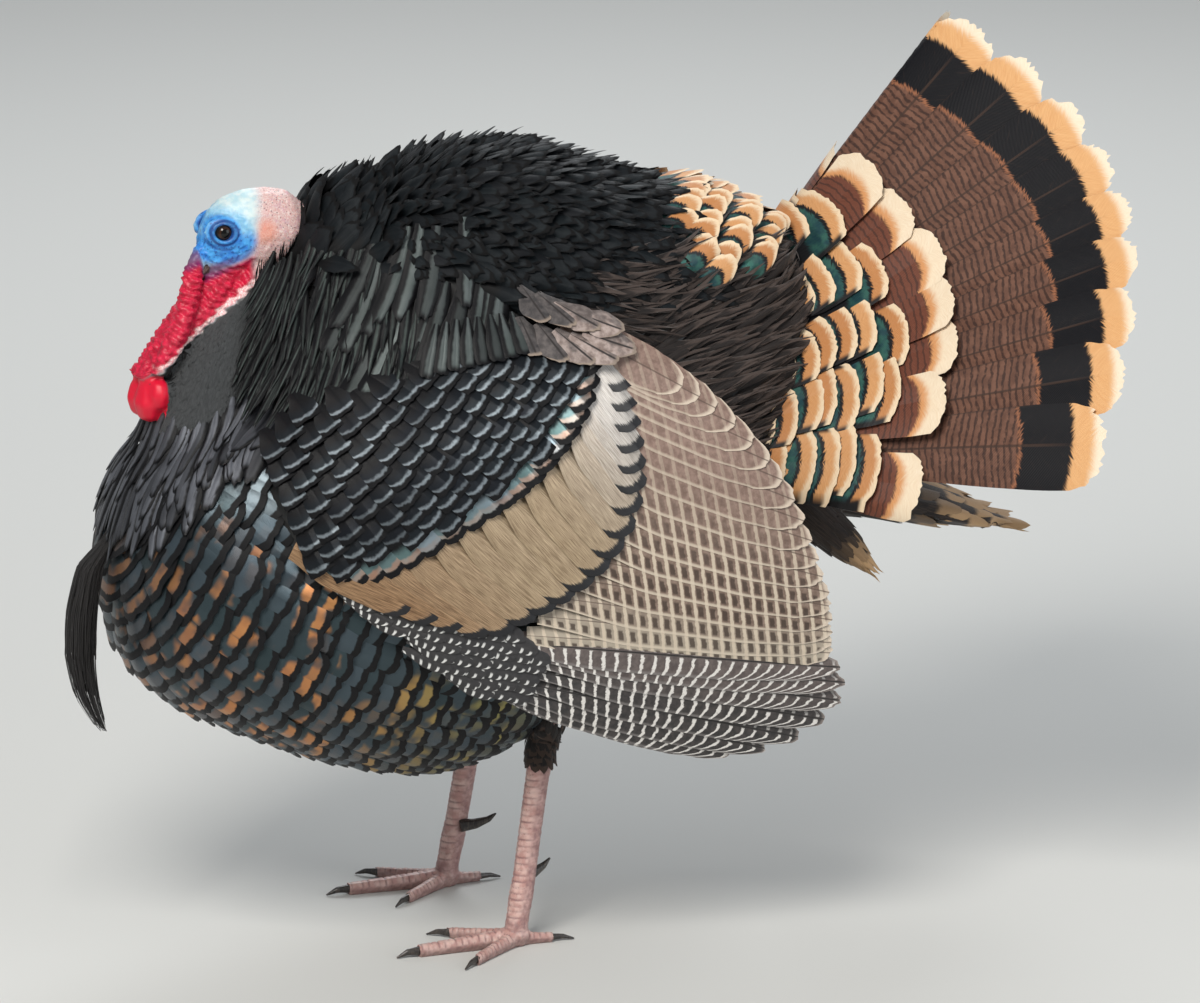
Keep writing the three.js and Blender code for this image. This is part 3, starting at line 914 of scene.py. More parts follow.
# %% The side of the neck
class SideSheet:
    """The left side seen square on. a is x, b is z; the depth is a smooth fit to rays.
    A cover above 1 draws the fit outwards, so that nothing of the body stands through it."""

    def __init__(self, rays, xs, zs, degree=4, cover=1.0):
        self.low = np.array([min(xs) - 15, min(zs) - 12]) * MM
        self.high = np.array([max(xs) + 12, max(zs) + 8]) * MM
        found = []
        for x in xs:
            for z in zs:
                hit = rays.ray_cast(place(x, -400, z), Vector((0, 1, 0)))
                if hit[0] is not None and hit[0].y < -12 * MM:
                    found.append((x * MM, z * MM, -hit[0].y))
        x, z, out = np.array(found).T
        self.powers = [(i, j) for i in range(degree + 1) for j in range(degree + 1 - i)]
        terms, trust = self.terms(x, z), np.ones(len(out))
        for _ in range(8):
            self.weights = np.linalg.lstsq(terms * trust[:, None], out * trust, rcond=None)[0]
            trust = np.where(out > terms @ self.weights, cover, 1.0)

    def terms(self, x, z):
        return np.stack([(x * 5) ** i * ((z - 0.5) * 10) ** j for i, j in self.powers], axis=-1)

    def point(self, a, b):
        a, b = both(a, b)
        inside = [np.clip(v, low, high) for v, low, high in zip((a, b), self.low, self.high)]
        out = self.terms(*inside) @ self.weights
        return arrows(a + HOME.x, -np.maximum(out, 6 * MM), b)

    def unwrap(self, a, b):
        flat = np.stack([np.asarray(a), np.asarray(b)], axis=-1)
        return 0.02 + 0.94 * np.clip((flat - self.low) / (self.high - self.low), 0, 1)


ruff_side = SideSheet(upper_rays, range(-228, 24, 9), range(432, 600, 9), cover=3.0)
print("ruff is", round(float(-ruff_side.point(0, 0.5)[1]) / MM), "mm out at the shoulder")

# %% Strands and blades of the ruff
def hanging(tiers, spacing, front, rear, lengths, jitter=0.3):
    """Feathers that hang in tiers on the ruff. tiers are heights of the tips over the hem."""
    xs, zs, size = [], [], []
    for tier in tiers:
        x = np.arange(front, rear, spacing)
        x = x + vary(-jitter, jitter, len(x)) * spacing
        length = np.interp(x, (front, rear), lengths) * vary(0.92, 1.08, len(x))
        xs.append(x)
        size.append(length)
        zs.append(ruff_hem(x) + tier + length + chance.normal(0, 2.0, len(x)))
    return np.concatenate(xs), np.concatenate(zs), np.concatenate(size)


def lay_strands():
    """Thin feathers at the front of the ruff that hang like hair."""
    x, z, length = hanging(range(0, 165, 13), 4.6, -236, -92, (50, 62), 0.5)
    above = z - length - ruff_hem(x)
    lean = 0.4 * soft_step(x, -150, -205) + 0.3 * soft_step(above, 60, 0) - 0.1
    x = x + lean * length
    low_x, low_z = x - lean * length, z - length
    keep = (x > ruff_front(z) + chance.normal(4, 3, len(x))) & (low_x > ruff_front(low_z) + 1)
    keep &= (z < 602) & (x < -84)
    x, z, length, lean = x[keep], z[keep], length[keep], lean[keep]
    count = len(x)
    flow = arrows(-lean + chance.normal(0, 0.03, count), 0, -1)
    return lay_feathers(
        ruff_side, x * MM, z * MM, flow, length=length * MM,
        width=(2.8 + 2.0 * soft_step(x, -185, -120)) * MM * vary(0.8, 1.2, count),
        columns=4, rows=9, tip=0.4, tip_power=1.8, tip_narrow=0.4, fullest=0.4, comb=0.06,
        base=vary(-3, 1, count) * MM, lift=3 + vary(-1, 2, count), camber=0.5,
        roll=-0.2 + vary(-0.25, 0.25, count), zone=0.35, waver=0.015, sway=-0.03,
    )


def lay_blades():
    """Broad feathers towards the shoulder, square at the tip, in overlapping tiers."""
    x, z, length = hanging((0, 40, 80, 118), 11.0, -146, -14, (92, 76), 0.25)
    above = z - length - ruff_hem(x)
    lean = 0.27 - 0.48 * soft_step(above, 0, 80) - 0.1 * soft_step(x, -90, -30)
    x = x + lean * length * 0.8
    keep = (z < 600) & (x < 6) & (x > ruff_front(z) + 40)
    x, z, length, lean, above = x[keep], z[keep], length[keep], lean[keep], above[keep]
    count = len(x)
    flow = arrows(-lean + chance.normal(0, 0.02, count), 0, -1)
    return lay_feathers(
        ruff_side, x * MM, z * MM, flow, length=length * MM, width=8.8 * MM * vary(0.85, 1.1, count),
        columns=10, rows=14, quill=0.5, tip=0.13, tip_power=2.4, tip_narrow=0.18, fullest=0.4, comb=0.03,
        base=(-1.0 + 0.035 * above) * MM, lift=2.6 + vary(-0.7, 0.8, count), camber=0.26,
        roll=-0.16 + vary(-0.08, 0.08, count), zone=0.9, waver=0.012, sway=-0.11,
    )


print("hem of the ruff", [round(float(ruff_hem(x))) for x in (-200, -100, 0)], "mm")

# %% Lay the bib and the ruff
def lay_bib():
    """Long narrow feathers that hang from the collar and cover the root of the beard."""
    a, b = rings_on(bib_dome, 84, 140, 10 * MM, 11 * MM, 0.25)
    at = measured(bib_dome.point(a, b))
    x, y, z = at.T
    keep = (z > bib_line(x)) & (z < 463) & (x < -150)
    a, b, y = a[keep], b[keep], y[keep]
    count = len(a)
    over_beard = soft_step(np.abs(y), 20, 8)
    flow = arrows(-0.12, chance.normal(0, 0.07, count), -1)
    length = 54 + 12 * over_beard * vary(-0.5, 1.5, count)
    return lay_feathers(
        bib_dome, a, b, flow, length=length * MM * vary(0.85, 1.1, count),
        width=(7.2 - 2.6 * over_beard) * MM * vary(0.85, 1.15, count), columns=6, rows=10, quill=0.5,
        tip=0.2, tip_narrow=0.3, fullest=0.4, comb=0.04, base=0.5 * MM, lift=2.5 + vary(-1, 1.5, count),
        camber=0.3, roll=vary(-0.12, 0.12, count), zone=0.5, waver=0.015,
    )


bib_rays = rays_of(BODY_FLESH + ["neck"], 5, 14)
bib_dome = Dome(bib_rays, place(-60, 0, 318), (-0.26, 0, -0.966), outside=0.5)
plumage("bib_plumage", lay_bib(), bib_finish, "body_plumage")
ruff_strands, ruff_blades = lay_strands(), lay_blades()

both_sides("ruff_strands", ruff_strands, strand_finish, "body_plumage")
both_sides("ruff_blades", ruff_blades, blade_finish, "body_plumage")


# %% Lay the mantle
def mantle_foot(x):
    """The height where the mantle begins above the ruff."""
    return 564 - 62 * soft_step(x, -60, 20)


def lay_mantle():
    a, b, at = upper_roots(11 * MM, 10 * MM, 8, 165)
    x, y, z = at.T
    above = z - mantle_foot(x)
    front = (z > ruff_hem(x) + 40) & (x > ruff_front(z) + 1)
    keep = (x < 150) & front & (above + chance.normal(0, 3, len(a)) > 0) & (z > 494)
    a, b, at = a[keep], b[keep], at[keep]
    x, y, z = at.T
    count = len(a)
    nape = soft_step(x, -70, -140)
    collar = soft_step(x, -95, -125) * soft_step(z, 556, 572)
    outward = 0.25 * np.sign(y) * soft_step(np.abs(y), 10, 70)
    flow = arrows(1 - 0.75 * nape, outward, -0.45 - 0.1 * nape + 0.9 * collar)
    crest = soft_step(z, 560, 612)
    border = soft_step(z - mantle_foot(x), 30, 8) * (1 - collar)
    return lay_feathers(
        upper_dome, a, b, flow,
        length=(36 + 2 * crest) * MM * vary(0.85, 1.15, count),
        width=8.0 * MM * vary(0.8, 1.15, count),
        columns=8, rows=8, tip=0.36, tip_power=1.9, tip_narrow=0.15, fullest=0.4, comb=0.08,
        base=(-7 + 6 * collar + 6 * border) * MM, lift=10 + 11 * crest + 8 * collar + vary(-5, 5, count),
        camber=0.4, curl=0.02, roll=vary(-0.35, 0.35, count), zone=0.2, waver=0.02, twist=0.25,
    )


plumage("mantle_plumage", lay_mantle(), mantle_finish, "body_plumage")

# %% [markdown]
# ## The naked head
#
# The head and throat of a gobbler are bare: a blue face, a pale crown, and a red throat with
# cross wrinkles that end in smooth crimson bulbs. The snood is the soft finger that hangs
# over the bill. A sculptor would press rings and beads into wax; here each point of a fine
# remesh is pushed along its normal by a sum of simple waves. The lids are rings of flesh that
# join the head before the remesh, so they grow out of it with no seam.
# %% Model the head
EYE_SPOT = {side: sum(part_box(f"eye_{side}"), Vector()) / 2 for side in SIDES}
EYE_SIZE = (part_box("eye_left")[1].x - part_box("eye_left")[0].x) / 2


def add_lids(bm):
    for side, spot in EYE_SPOT.items():
        out = -1 if side == "left" else 1
        for radius, thick, stand in ((8.6, 2.1, 4.0), (12.4, 1.8, 1.5)):
            ring = bmesh.ops.create_circle(bm, segments=10, radius=thick * MM)["verts"]
            bmesh.ops.rotate(bm, verts=ring, matrix=Matrix.Rotation(math.pi / 2, 3, "X"))
            bmesh.ops.translate(bm, verts=ring, vec=Vector((radius * MM, 0, 0)))
            edges = list({edge for vert in ring for edge in vert.link_edges})
            bmesh.ops.spin(
                bm, geom=ring + edges, cent=(0, 0, 0), axis=(0, 0, 1),
                angle=2 * math.pi, steps=36, use_merge=True, use_duplicate=False,
            )
            loose = [v for v in bm.verts if v.tag is False]
            bmesh.ops.scale(bm, verts=loose, vec=Vector((1.06, 0.86, 1)))
            bmesh.ops.rotate(bm, verts=loose, matrix=Matrix.Rotation(-out * math.pi / 2, 3, "X"))
            for degrees, axis in ((10, "X"), (15, "Z")):
                lean = Matrix.Rotation(out * math.radians(degrees), 3, axis)
                bmesh.ops.rotate(bm, verts=loose, matrix=lean)
            bmesh.ops.translate(bm, verts=loose, vec=spot + Vector((0, out * stand * MM, 0)))
            for vert in bm.verts:
                vert.tag = True


def head_source():
    bm = bmesh.new()
    bm.from_mesh(joined_copy(HEAD_FLESH))
    for vert in bm.verts:
        vert.tag = True
    add_lids(bm)
    for side in (-1, 1):
        blend = Matrix.Rotation(math.radians(30), 4, "Y") @ Matrix.Diagonal((0.8, 0.9, 1.2, 1.0))
        blend = Matrix.Translation(place(-280.5, side * 8, 469)) @ blend
        bmesh.ops.create_icosphere(bm, subdivisions=3, radius=10.5 * MM, matrix=blend)
    bmesh.ops.recalc_face_normals(bm, faces=bm.faces)
    return to_mesh(bm, "head_flesh")


print("eyes at", [[round(v, 3) for v in spot] for spot in EYE_SPOT.values()])

# %% Zones of the head
EYE_X, EYE_Z = -217, 586  # the middle of the lids, seen from the side
HEAD_FOOT = 425  # below this height the skin is feathered
BULBS = [(-281, 9, 449, 15), (-276, 17, 455, 12)]  # the crimson bulbs, mirrored to both sides


def near_bulbs(x, y, z, inner, outer):
    """1 inside the bulbs and 0 away from them; inner and outer are added to each radius."""
    share = np.zeros(np.shape(x))
    for bx, by, bz, radius in BULBS:
        away = np.sqrt((x - bx) ** 2 + (np.abs(y) - by) ** 2 + (z - bz) ** 2)
        share = np.maximum(share, soft_step(away, radius + outer, radius + inner))
    return share


def bulb_skin(x, y, z):
    """The crimson part of the finished skin, once the bulbs have been pushed out."""
    limits = soft_step(x, -264, -268) * soft_step(z, 434.5, 437.5)
    return near_bulbs(x - 3.5, y, z - 4.0, 3.0, 7.0) * limits


def from_lids(x, z, stretch=1.0):
    return np.hypot(x - EYE_X, (z - EYE_Z) * stretch)


def throat_line(x, z):
    """Below 0 in front of the line where the red throat meets the feathered neck."""
    return (x + 197) - 1.23 * (z - 541.5)


def under_face(x):
    """The height where the blue of the face gives way to red."""
    return 551 + 0.42 * (x + 230) + 17 * soft_step(x, -231, -237)


def head_zones(x, z, y):
    """Shares of face, nape, throat, bulb and throat's rim at points in millimetres."""
    across = (x + 214) * np.where(x < -214, 0.62, 1.0)
    from_eye = np.hypot(across, (z - 580) * np.where(z > 580, 0.92, 1.0))
    line = throat_line(x, z)
    throat = soft_step(z, under_face(x) + 2.5, under_face(x) - 2.5) * soft_step(line, 2.5, -2.5)
    throat = throat * soft_step(x, -189, -197)
    bulb = near_bulbs(x, y, z, 1.2, 3.0)
    throat = np.maximum(throat, bulb)
    face = soft_step(from_eye, 26, 17) * (1 - throat)
    nape = soft_step(x - 0.25 * (z - 586), -199, -186) * (1 - throat)
    ragged = 1.6 * np.sin(0.9 * z) + 1.2 * np.sin(0.43 * z + 1)
    rim = soft_step(np.abs(line + 1.5 + ragged), 5, 2) * soft_step(z, 468, 488)
    rim = rim * soft_step(x, -277, -271) * soft_step(z, 560, 549) * soft_step(x, -187, -194) * (1 - bulb)
    return face, nape, throat, bulb, rim


def round_off(bm):
    """Take the facets out of the crown and the bulbs, but leave the lids sharp."""
    smooth(bm, 3)
    x, y, z = measured([vert.co for vert in bm.verts]).T
    plain = (from_lids(x, z) > 16) | (np.abs(y) < 12)
    smooth(bm, 14, verts=[vert for vert, flat in zip(bm.verts, plain) if flat])


head_form = remeshed(head_source(), 1.15 * MM)
round_off(head_form)
head_form.normal_update()
print("head wrapped in", len(head_form.faces), "quads")

# %% Fold the skin of the head
def fold_head(bm):
    at = measured([vert.co for vert in bm.verts])
    x, y, z = at.T
    face, nape, throat, bulb, _ = head_zones(x, z, y)
    wrinkled = throat * (1 - bulb)
    push = np.zeros(len(at))
    for i, spot in enumerate(at):
        here = Vector(spot)
        if wrinkled[i] > 0.02:
            bend = noise.noise(here * 0.06) * 6
            run = (-0.5 * here.x - 0.866 * here.z) + bend
            wave = 0.5 + 0.5 * math.sin(run * 2 * math.pi / 6.4)
            gap = noise.voronoi(Vector((here.x, here.y, here.z * 1.5)) * 0.16)[0]
            bead = max(0.0, 1 - (gap[0] / 0.62) ** 2)
            low = min(max((here.z - 470) / 60, 0), 1)
            push[i] += wrinkled[i] * (wave**0.6 * (0.9 + 1.2 * low) + bead * (2.4 - 0.9 * low) - 1.1)
            push[i] += wrinkled[i] * 0.5 * noise.noise(here * 0.5)
        if bulb[i] > 0.02:
            push[i] += bulb[i] * 0.5 * noise.noise(here * 0.09)
        if face[i] > 0.02:
            ring = from_lids(here.x, here.z)
            outside = min(max((ring - 12) / 3, 0), 1)
            push[i] += face[i] * outside * 0.6 * math.sin(ring * 1.25 + noise.noise(here * 0.16) * 7)
            push[i] += face[i] * outside * 0.6 * noise.noise(here * 0.35)
        if nape[i] > 0.02:
            push[i] += nape[i] * (0.55 * noise.noise(here * 0.33) + 0.4 * noise.noise(here * 0.8))
    for vert, amount in zip(bm.verts, push):
        vert.co += vert.normal * amount * MM
    for vert, spot, share in zip(bm.verts, at, near_bulbs(x, y, z, 2, 14)):
        vert.co.x += share * (3.5 - 0.16 * (spot[0] + 278)) * MM
        vert.co.z += share * (4.0 + 0.14 * (spot[2] - 452)) * MM
    smooth(bm, 1, 0.35)


fold_head(head_form)
print("head", len(head_form.faces), "quads, eye radius", round(EYE_SIZE / MM, 1), "mm")

# %% [markdown]
# ## One skin
#
# The body is drawn in by the depth of the plumage and the head stays at its full size. A
# boolean union makes them a single closed skin, and the step between them lies deep in the
# ruff. The skin stores how much of each zone every point has: face, nape, throat and so on.
# Its own finish and the small feathers read the same zones, so the colours agree.
# %% Join body and head into one skin
COAT_DEPTH = 7.5 * MM


def body_skin():
    bm = remeshed(joined_copy(BODY_FLESH + WING_FLESH + THIGH_FLESH + ["neck"]), 6 * MM)
    smooth(bm, 8)
    bm.normal_update()
    for vert in bm.verts:
        vert.co -= vert.normal * COAT_DEPTH
    smooth(bm, 2)
    return bm


def to_object(bm, name):
    thing = bpy.data.objects.new(name, to_mesh(bm, name))
    bpy.context.scene.collection.objects.link(thing)
    return thing


def union(first, second):
    join = first.modifiers.new("join", "BOOLEAN")
    join.operation = "UNION"
    join.solver = "MANIFOLD"
    join.object = second
    graph = bpy.context.evaluated_depsgraph_get()
    mesh = bpy.data.meshes.new_from_object(first.evaluated_get(graph))
    bpy.data.objects.remove(first)
    bpy.data.objects.remove(second)
    return mesh


def store(mesh, key, values):
    layer = mesh.attributes.new(key, "FLOAT", "POINT")
    layer.data.foreach_set("value", np.asarray(values, np.float32))


skin_mesh = union(to_object(body_skin(), "body_part"), to_object(head_form.copy(), "head_part"))
skin_mesh.polygons.foreach_set("use_smooth", np.ones(len(skin_mesh.polygons), dtype=bool))
print("skin has", len(skin_mesh.vertices), "points")

# %% Zones of the skin
skin_at = np.zeros(3 * len(skin_mesh.vertices))
skin_mesh.vertices.foreach_get("co", skin_at)
skin_at = measured(skin_at.reshape(-1, 3))
SX, SY, SZ = skin_at.T
for key, share in zip(("face", "nape", "throat", "bulb", "rim"), head_zones(SX, SZ, SY)):
    share = np.maximum(share, bulb_skin(SX, SY, SZ)) if key in ("throat", "bulb") else share
    store(skin_mesh, key, share * (SX < -120) * (SZ > HEAD_FOOT))
behind = soft_step(SZ - 0.62 * (SX + 192), 540, 547) * (SX < -142) * (SX > -193)
above = soft_step(SZ, under_face(SX) - 5, under_face(SX) - 2) * (SX <= -190)
red = np.maximum(head_zones(SX, SZ, SY)[2], head_zones(SX, SZ, SY)[4])
naked = np.maximum(np.maximum(red, bulb_skin(SX, SY, SZ)), np.maximum(behind, above))
store(skin_mesh, "naked", naked * (SZ > HEAD_FOOT))


def skin_map(mesh, at):
    """An unwrap of the skin: the head takes the upper part, the body a strip below."""
    x, y, z = at.T
    head = (x < -130) & (z > HEAD_FOOT)
    turn = np.where(head, np.arctan2(y, -(x + 205 + 0.6 * (585 - z))), np.arctan2(y, x))
    height = np.where(head, 0.32 + 0.66 * (z - HEAD_FOOT) / 200, 0.02 + 0.26 * z / 640)
    uv = np.stack([0.5 + turn / 6.6, height], axis=-1)
    corners = np.zeros(len(mesh.loops), dtype=np.int32)
    mesh.loops.foreach_get("vertex_index", corners)
    layer = mesh.uv_layers.new(name="OFBake")
    layer.data.foreach_set("uv", np.clip(uv[corners], 0, 1).astype(np.float32).ravel())


# Painted shade: rings just inside, between and outside the two lids, where the creases are.
ring = from_lids(SX, SZ, 1.1)
lid_crease_shade = soft_step(ring, 7.6, 6.2) + soft_step(np.abs(ring - 10.4), 1.7, 0.5)
lid_crease_shade += 0.7 * soft_step(np.abs(ring - 15.0), 1.5, 0.4) * soft_step(SX, -206, -212)
store(skin_mesh, "painted_lid_shade", np.clip(lid_crease_shade, 0, 1) * (SX < -150) * (SZ > 540) * (np.abs(SY) > 8))
store(skin_mesh, "flush", soft_step(np.hypot(SX + 184, SZ - 585), 14, 4) * (SX < -120))
purple = soft_step(np.abs(SZ - under_face(SX) - 1), 8, 3)
purple = purple * soft_step(SX, -188, -198) * soft_step(SZ, 540, 546)
store(skin_mesh, "purple", purple * (1 - 0.6 * soft_step(SX, -222, -205)))
skin_map(skin_mesh, skin_at)
print("naked points:", int((naked * (SZ > HEAD_FOOT) > 0.5).sum()))

# %% Finish for the bare skin
def from_pupil(f):
    """How far behind and above the pupil a point is, and how far away."""
    x, _, z = f.axes(f.here())
    behind, above = x - EYE_SPOT["left"].x, z - EYE_SPOT["left"].z
    return behind, above, (behind * behind + above * above) ** 0.5


def skin_finish():
    f = Finish("bare_skin", 0.42, 0.45, Subsurface_Weight=0.12, Subsurface_Scale=0.004)
    f.surface.inputs["Subsurface Radius"].default_value = (1.0, 0.35, 0.25)
    here = f.here()
    fine, blotch = f.noise(here, 900, 3), f.noise(here, 170, 3)
    feathered = f.mix(blotch, (0.01, 0.01, 0.011), (0.022, 0.021, 0.02))
    pale = f.mix(f.step(blotch, 0.35, 0.65), (0.42, 0.6, 0.66), (0.6, 0.7, 0.7))
    nape = f.mix(f.step(fine, 0.45, 0.62), (0.6, 0.36, 0.34), (0.68, 0.56, 0.53))
    specks = f.step(f.cells(here, 330), 0.24, 0.16)
    nape = f.mix(specks * 0.75, nape, (0.16, 0.07, 0.09))
    nape = f.mix(f.step(f.noise(here, 260, 2), 0.55, 0.65) * 0.5, nape, (0.52, 0.3, 0.36))
    nape = f.mix(f.stored("flush") * 0.8, nape, f.mix(fine, (0.66, 0.2, 0.12), (0.7, 0.38, 0.3)))
    blue = f.mix(f.step(blotch, 0.3, 0.7), (0.02, 0.17, 0.56), (0.07, 0.36, 0.76))
    blue = f.mix(f.step(f.noise(here, 420, 2), 0.57, 0.66, 0, 0.7), blue, (0.01, 0.04, 0.22))
    # The lid creases are darkened with painted shade.
    blue = f.mix(f.stored("painted_lid_shade") * 0.8, blue, (0.008, 0.03, 0.18))
    _, above, away = from_pupil(f)
    brow = f.step(away, 0.0112, 0.015) * f.step(above, -0.007, 0.003)
    blue = f.mix(brow * 0.8, blue, f.mix(blotch, (0.12, 0.42, 0.66), (0.42, 0.66, 0.74)))
    shade = f.step(away, 0.01, 0.008) * f.step(above, -0.01, 0.004)
    blue = f.mix(shade * 0.6, blue, (0.006, 0.035, 0.16))
    red = f.mix(f.step(blotch, 0.3, 0.72), (0.38, 0.003, 0.026), (0.66, 0.01, 0.055))
    red = f.mix(f.step(fine, 0.58, 0.7, 0, 0.5), red, (0.86, 0.13, 0.17))
    rim = f.mix(f.step(fine, 0.4, 0.6), (0.78, 0.34, 0.36), (0.9, 0.74, 0.72))
    colour = f.mix(f.stored("nape"), pale, nape)
    colour = f.mix(f.stored("face"), colour, blue)
    colour = f.mix(f.stored("throat"), colour, red)
    purple = f.mix(fine, (0.05, 0.012, 0.075), (0.2, 0.02, 0.12))
    colour = f.mix(f.stored("purple") * 0.85, colour, purple)
    colour = f.mix(f.stored("bulb"), colour, (0.66, 0.004, 0.03))
    colour = f.mix(f.stored("rim"), colour, rim)
    f.colour(f.mix(f.stored("naked"), feathered, colour))
    f.bump(f.noise(here, 1500, 3), 0.3, 0.0003)
    return f.material


add_piece(
    "skin", skin_mesh, skin_finish(), "head_skin",
    *(BODY_FLESH + WING_FLESH + THIGH_FLESH + HEAD_FLESH),
)

# %% [markdown]
# ## Eyes and bill
#
# A turkey's eye is a dark glassy ball with a brown iris and a round pupil, sunk so that the
# lids hold it. The bill is a short curved horn, darker at its base and pale at its tip. The
# packed solids are kept as guides: the ball is made again smooth, and the bill is a copy that
# is merged, divided and rounded.
# %% Eyes
def eye_finish():
    f = Finish("glassy_eye", 0.06, 0.2, Coat_Weight=0.3, Coat_Roughness=0.02)
    across, up, ring = from_pupil(f)
    threads = f.noise(f.vector(f.math("ARCTAN2", across, up), ring), 9, 2)
    iris = f.mix(threads, (0.016, 0.007, 0.004), (0.05, 0.02, 0.01))
    colour = f.mix(f.step(ring, 0.0034, 0.0037), (0.002, 0.002, 0.002), iris)
    colour = f.mix(f.step(ring, 0.0046, 0.0056), colour, (0.008, 0.006, 0.006))
    f.colour(colour)
    return f.material


eye_look = eye_finish()
for side, spot in EYE_SPOT.items():
    bm = bmesh.new()
    bmesh.ops.create_uvsphere(bm, u_segments=48, v_segments=24, radius=EYE_SIZE)
    bmesh.ops.rotate(bm, verts=bm.verts, matrix=Matrix.Rotation(math.pi / 2, 3, "X"))
    bmesh.ops.translate(bm, verts=bm.verts, vec=spot)
    name = f"eye_{side}_ball"
    add_piece(name, to_mesh(bm, name), eye_look, "eye", f"eye_{side}")


# %% Bill, spurs and claws
def horn_finish(name, dark, light):
    f = Finish(name, 0.36, 0.5, Coat_Weight=0.2, Coat_Roughness=0.25)
    x, y, z = f.axes(f.here())
    streaks = f.noise(f.vector(x, y, z * 0.2), 700, 3)
    f.colour(f.mix(f.step(streaks, 0.35, 0.7), dark, light))
    f.bump(streaks, 0.25, 0.0003)
    return f.material


def rounded_copy(name, voxel, rounds=3):
    bm = remeshed(joined_copy([name]), voxel * MM)
    smooth(bm, rounds)
    return to_mesh(bm, name)


bill_look = horn_finish("bill_horn", (0.1, 0.05, 0.055), (0.3, 0.22, 0.18))
claw_look = horn_finish("claw_horn", (0.018, 0.015, 0.014), (0.075, 0.06, 0.05))
for name in ("bill_upper", "bill_lower"):
    add_piece(f"{name}_horn", rounded_copy(name, 0.8), bill_look, "horn", name)
for side in SIDES:
    for name in ("spur", "claw_middle", "claw_inner", "claw_outer", "claw_hind"):
        node = f"{name}_{side}"
        add_piece(f"{node}_horn", rounded_copy(node, 0.6), claw_look, "horn", node)

# %% [markdown]
# ## Legs and feet
#
# Each leg below the feathers is covered by scutes: broad plates in two rows down the front
# and over each toe, and fine round scales elsewhere. Shank and foot are wrapped together in
# one fine remesh, and the plates are pressed in as a groove wherever a wave crosses zero.
# %% Scaled legs
LEG_LINE = ((9, 20, 45, 95, 145, 186), (85, 84, 83, 80, 78, 77))  # heights, distance from the middle


def leg_mesh(side):
    bm = remeshed(joined_copy([f"shank_{side}", f"foot_{side}"]), 1.3 * MM)
    smooth(bm, 3)
    bm.normal_update()
    at = measured([vert.co for vert in bm.verts])
    x, y, z = at.T
    normal = np.array([vert.normal for vert in bm.verts])
    out = -1 if side == "left" else 1
    on_toe = soft_step(z, 26, 16)
    front = soft_step(normal[:, 0], 0.15, -0.35) * (1 - on_toe)
    front = np.maximum(front, soft_step(normal[:, 2], 0.1, 0.5) * on_toe)
    run = np.where(on_toe > 0.5, np.hypot(x, y - out * STANCE / MM), z)
    middle = y - out * np.interp(z, *LEG_LINE)
    stagger = np.where((middle > 0) & (on_toe < 0.5), 2.4, 0.0)
    wave = np.abs(np.sin((run + stagger) * math.pi / 4.8))
    plate = -0.75 * np.exp(-((wave / 0.28) ** 2)) * front
    seam = -0.5 * np.exp(-((middle / 0.8) ** 2)) * front * (1 - on_toe)
    groove = np.clip((plate + seam) / -0.75, 0, 1)
    small = np.zeros(len(at))
    for i, spot in enumerate(at):
        if front[i] < 0.9:
            gap = noise.voronoi(Vector(spot) * 0.42)[0]
            small[i] = (0.4 - min(gap[0], 0.8)) * (1 - front[i]) * 0.7
    push = plate + seam + small + 1.7 * soft_step(z, 20, 44) - 2.5 * soft_step(z, 150, 168)
    push[z < 1.0] = 0
    for vert, amount in zip(bm.verts, push):
        vert.co += vert.normal * amount * MM
        vert.co.z = max(vert.co.z, 0.0)
    mesh = to_mesh(bm, f"leg_{side}")
    store(mesh, "groove", np.maximum(groove, np.clip(-small * 2.5, 0, 1)))
    store(mesh, "front", front)
    return mesh


def leg_finish():
    f = Finish("leg_scales", 0.42, 0.45, Subsurface_Weight=0.06, Subsurface_Scale=0.003)
    here = f.here()
    tone = f.noise(here, 120, 3)
    # The front plates and the tops of the toes are lighter: partly their own paler tone, partly a
    # painted highlight on the faces that turn towards the light.
    plates = f.mix(f.step(tone, 0.35, 0.65), (0.5, 0.28, 0.25), (0.68, 0.47, 0.42))
    rest = f.mix(f.step(tone, 0.3, 0.7), (0.36, 0.2, 0.185), (0.54, 0.35, 0.32))
    colour = f.mix(f.stored("front"), rest, plates)
    colour = f.mix(f.stored("groove") * 0.75, colour, (0.15, 0.07, 0.08))
    # The lowest 16 mm of the feet are mixed towards a darker brown.
    near_floor = f.step(f.axes(here)[2], 0.016, 0.0)
    f.colour(f.mix(near_floor * 0.35, colour, (0.2, 0.14, 0.12)))
    f.bump(f.noise(here, 1300, 3), 0.25, 0.0003)
    return f.material


leg_look = leg_finish()
for side in SIDES:
    add_piece(f"leg_{side}", leg_mesh(side), leg_look, "leg_scale", f"shank_{side}", f"foot_{side}")

# %% [markdown]
# ## Wing sheet
#
# In strut the wings droop until their tips nearly scrape the ground, and each lies beside the
# body as part of one long barrel. A wing sheet is measured by x and z, so a feather's place on
# it is where it is seen from the side. The barrel's half width at each x is read from rays
# shot at the packed wing solids.
# %% Wing sheet
WING_PARTS = ("shoulder", "greater_coverts", "secondaries", "primaries")


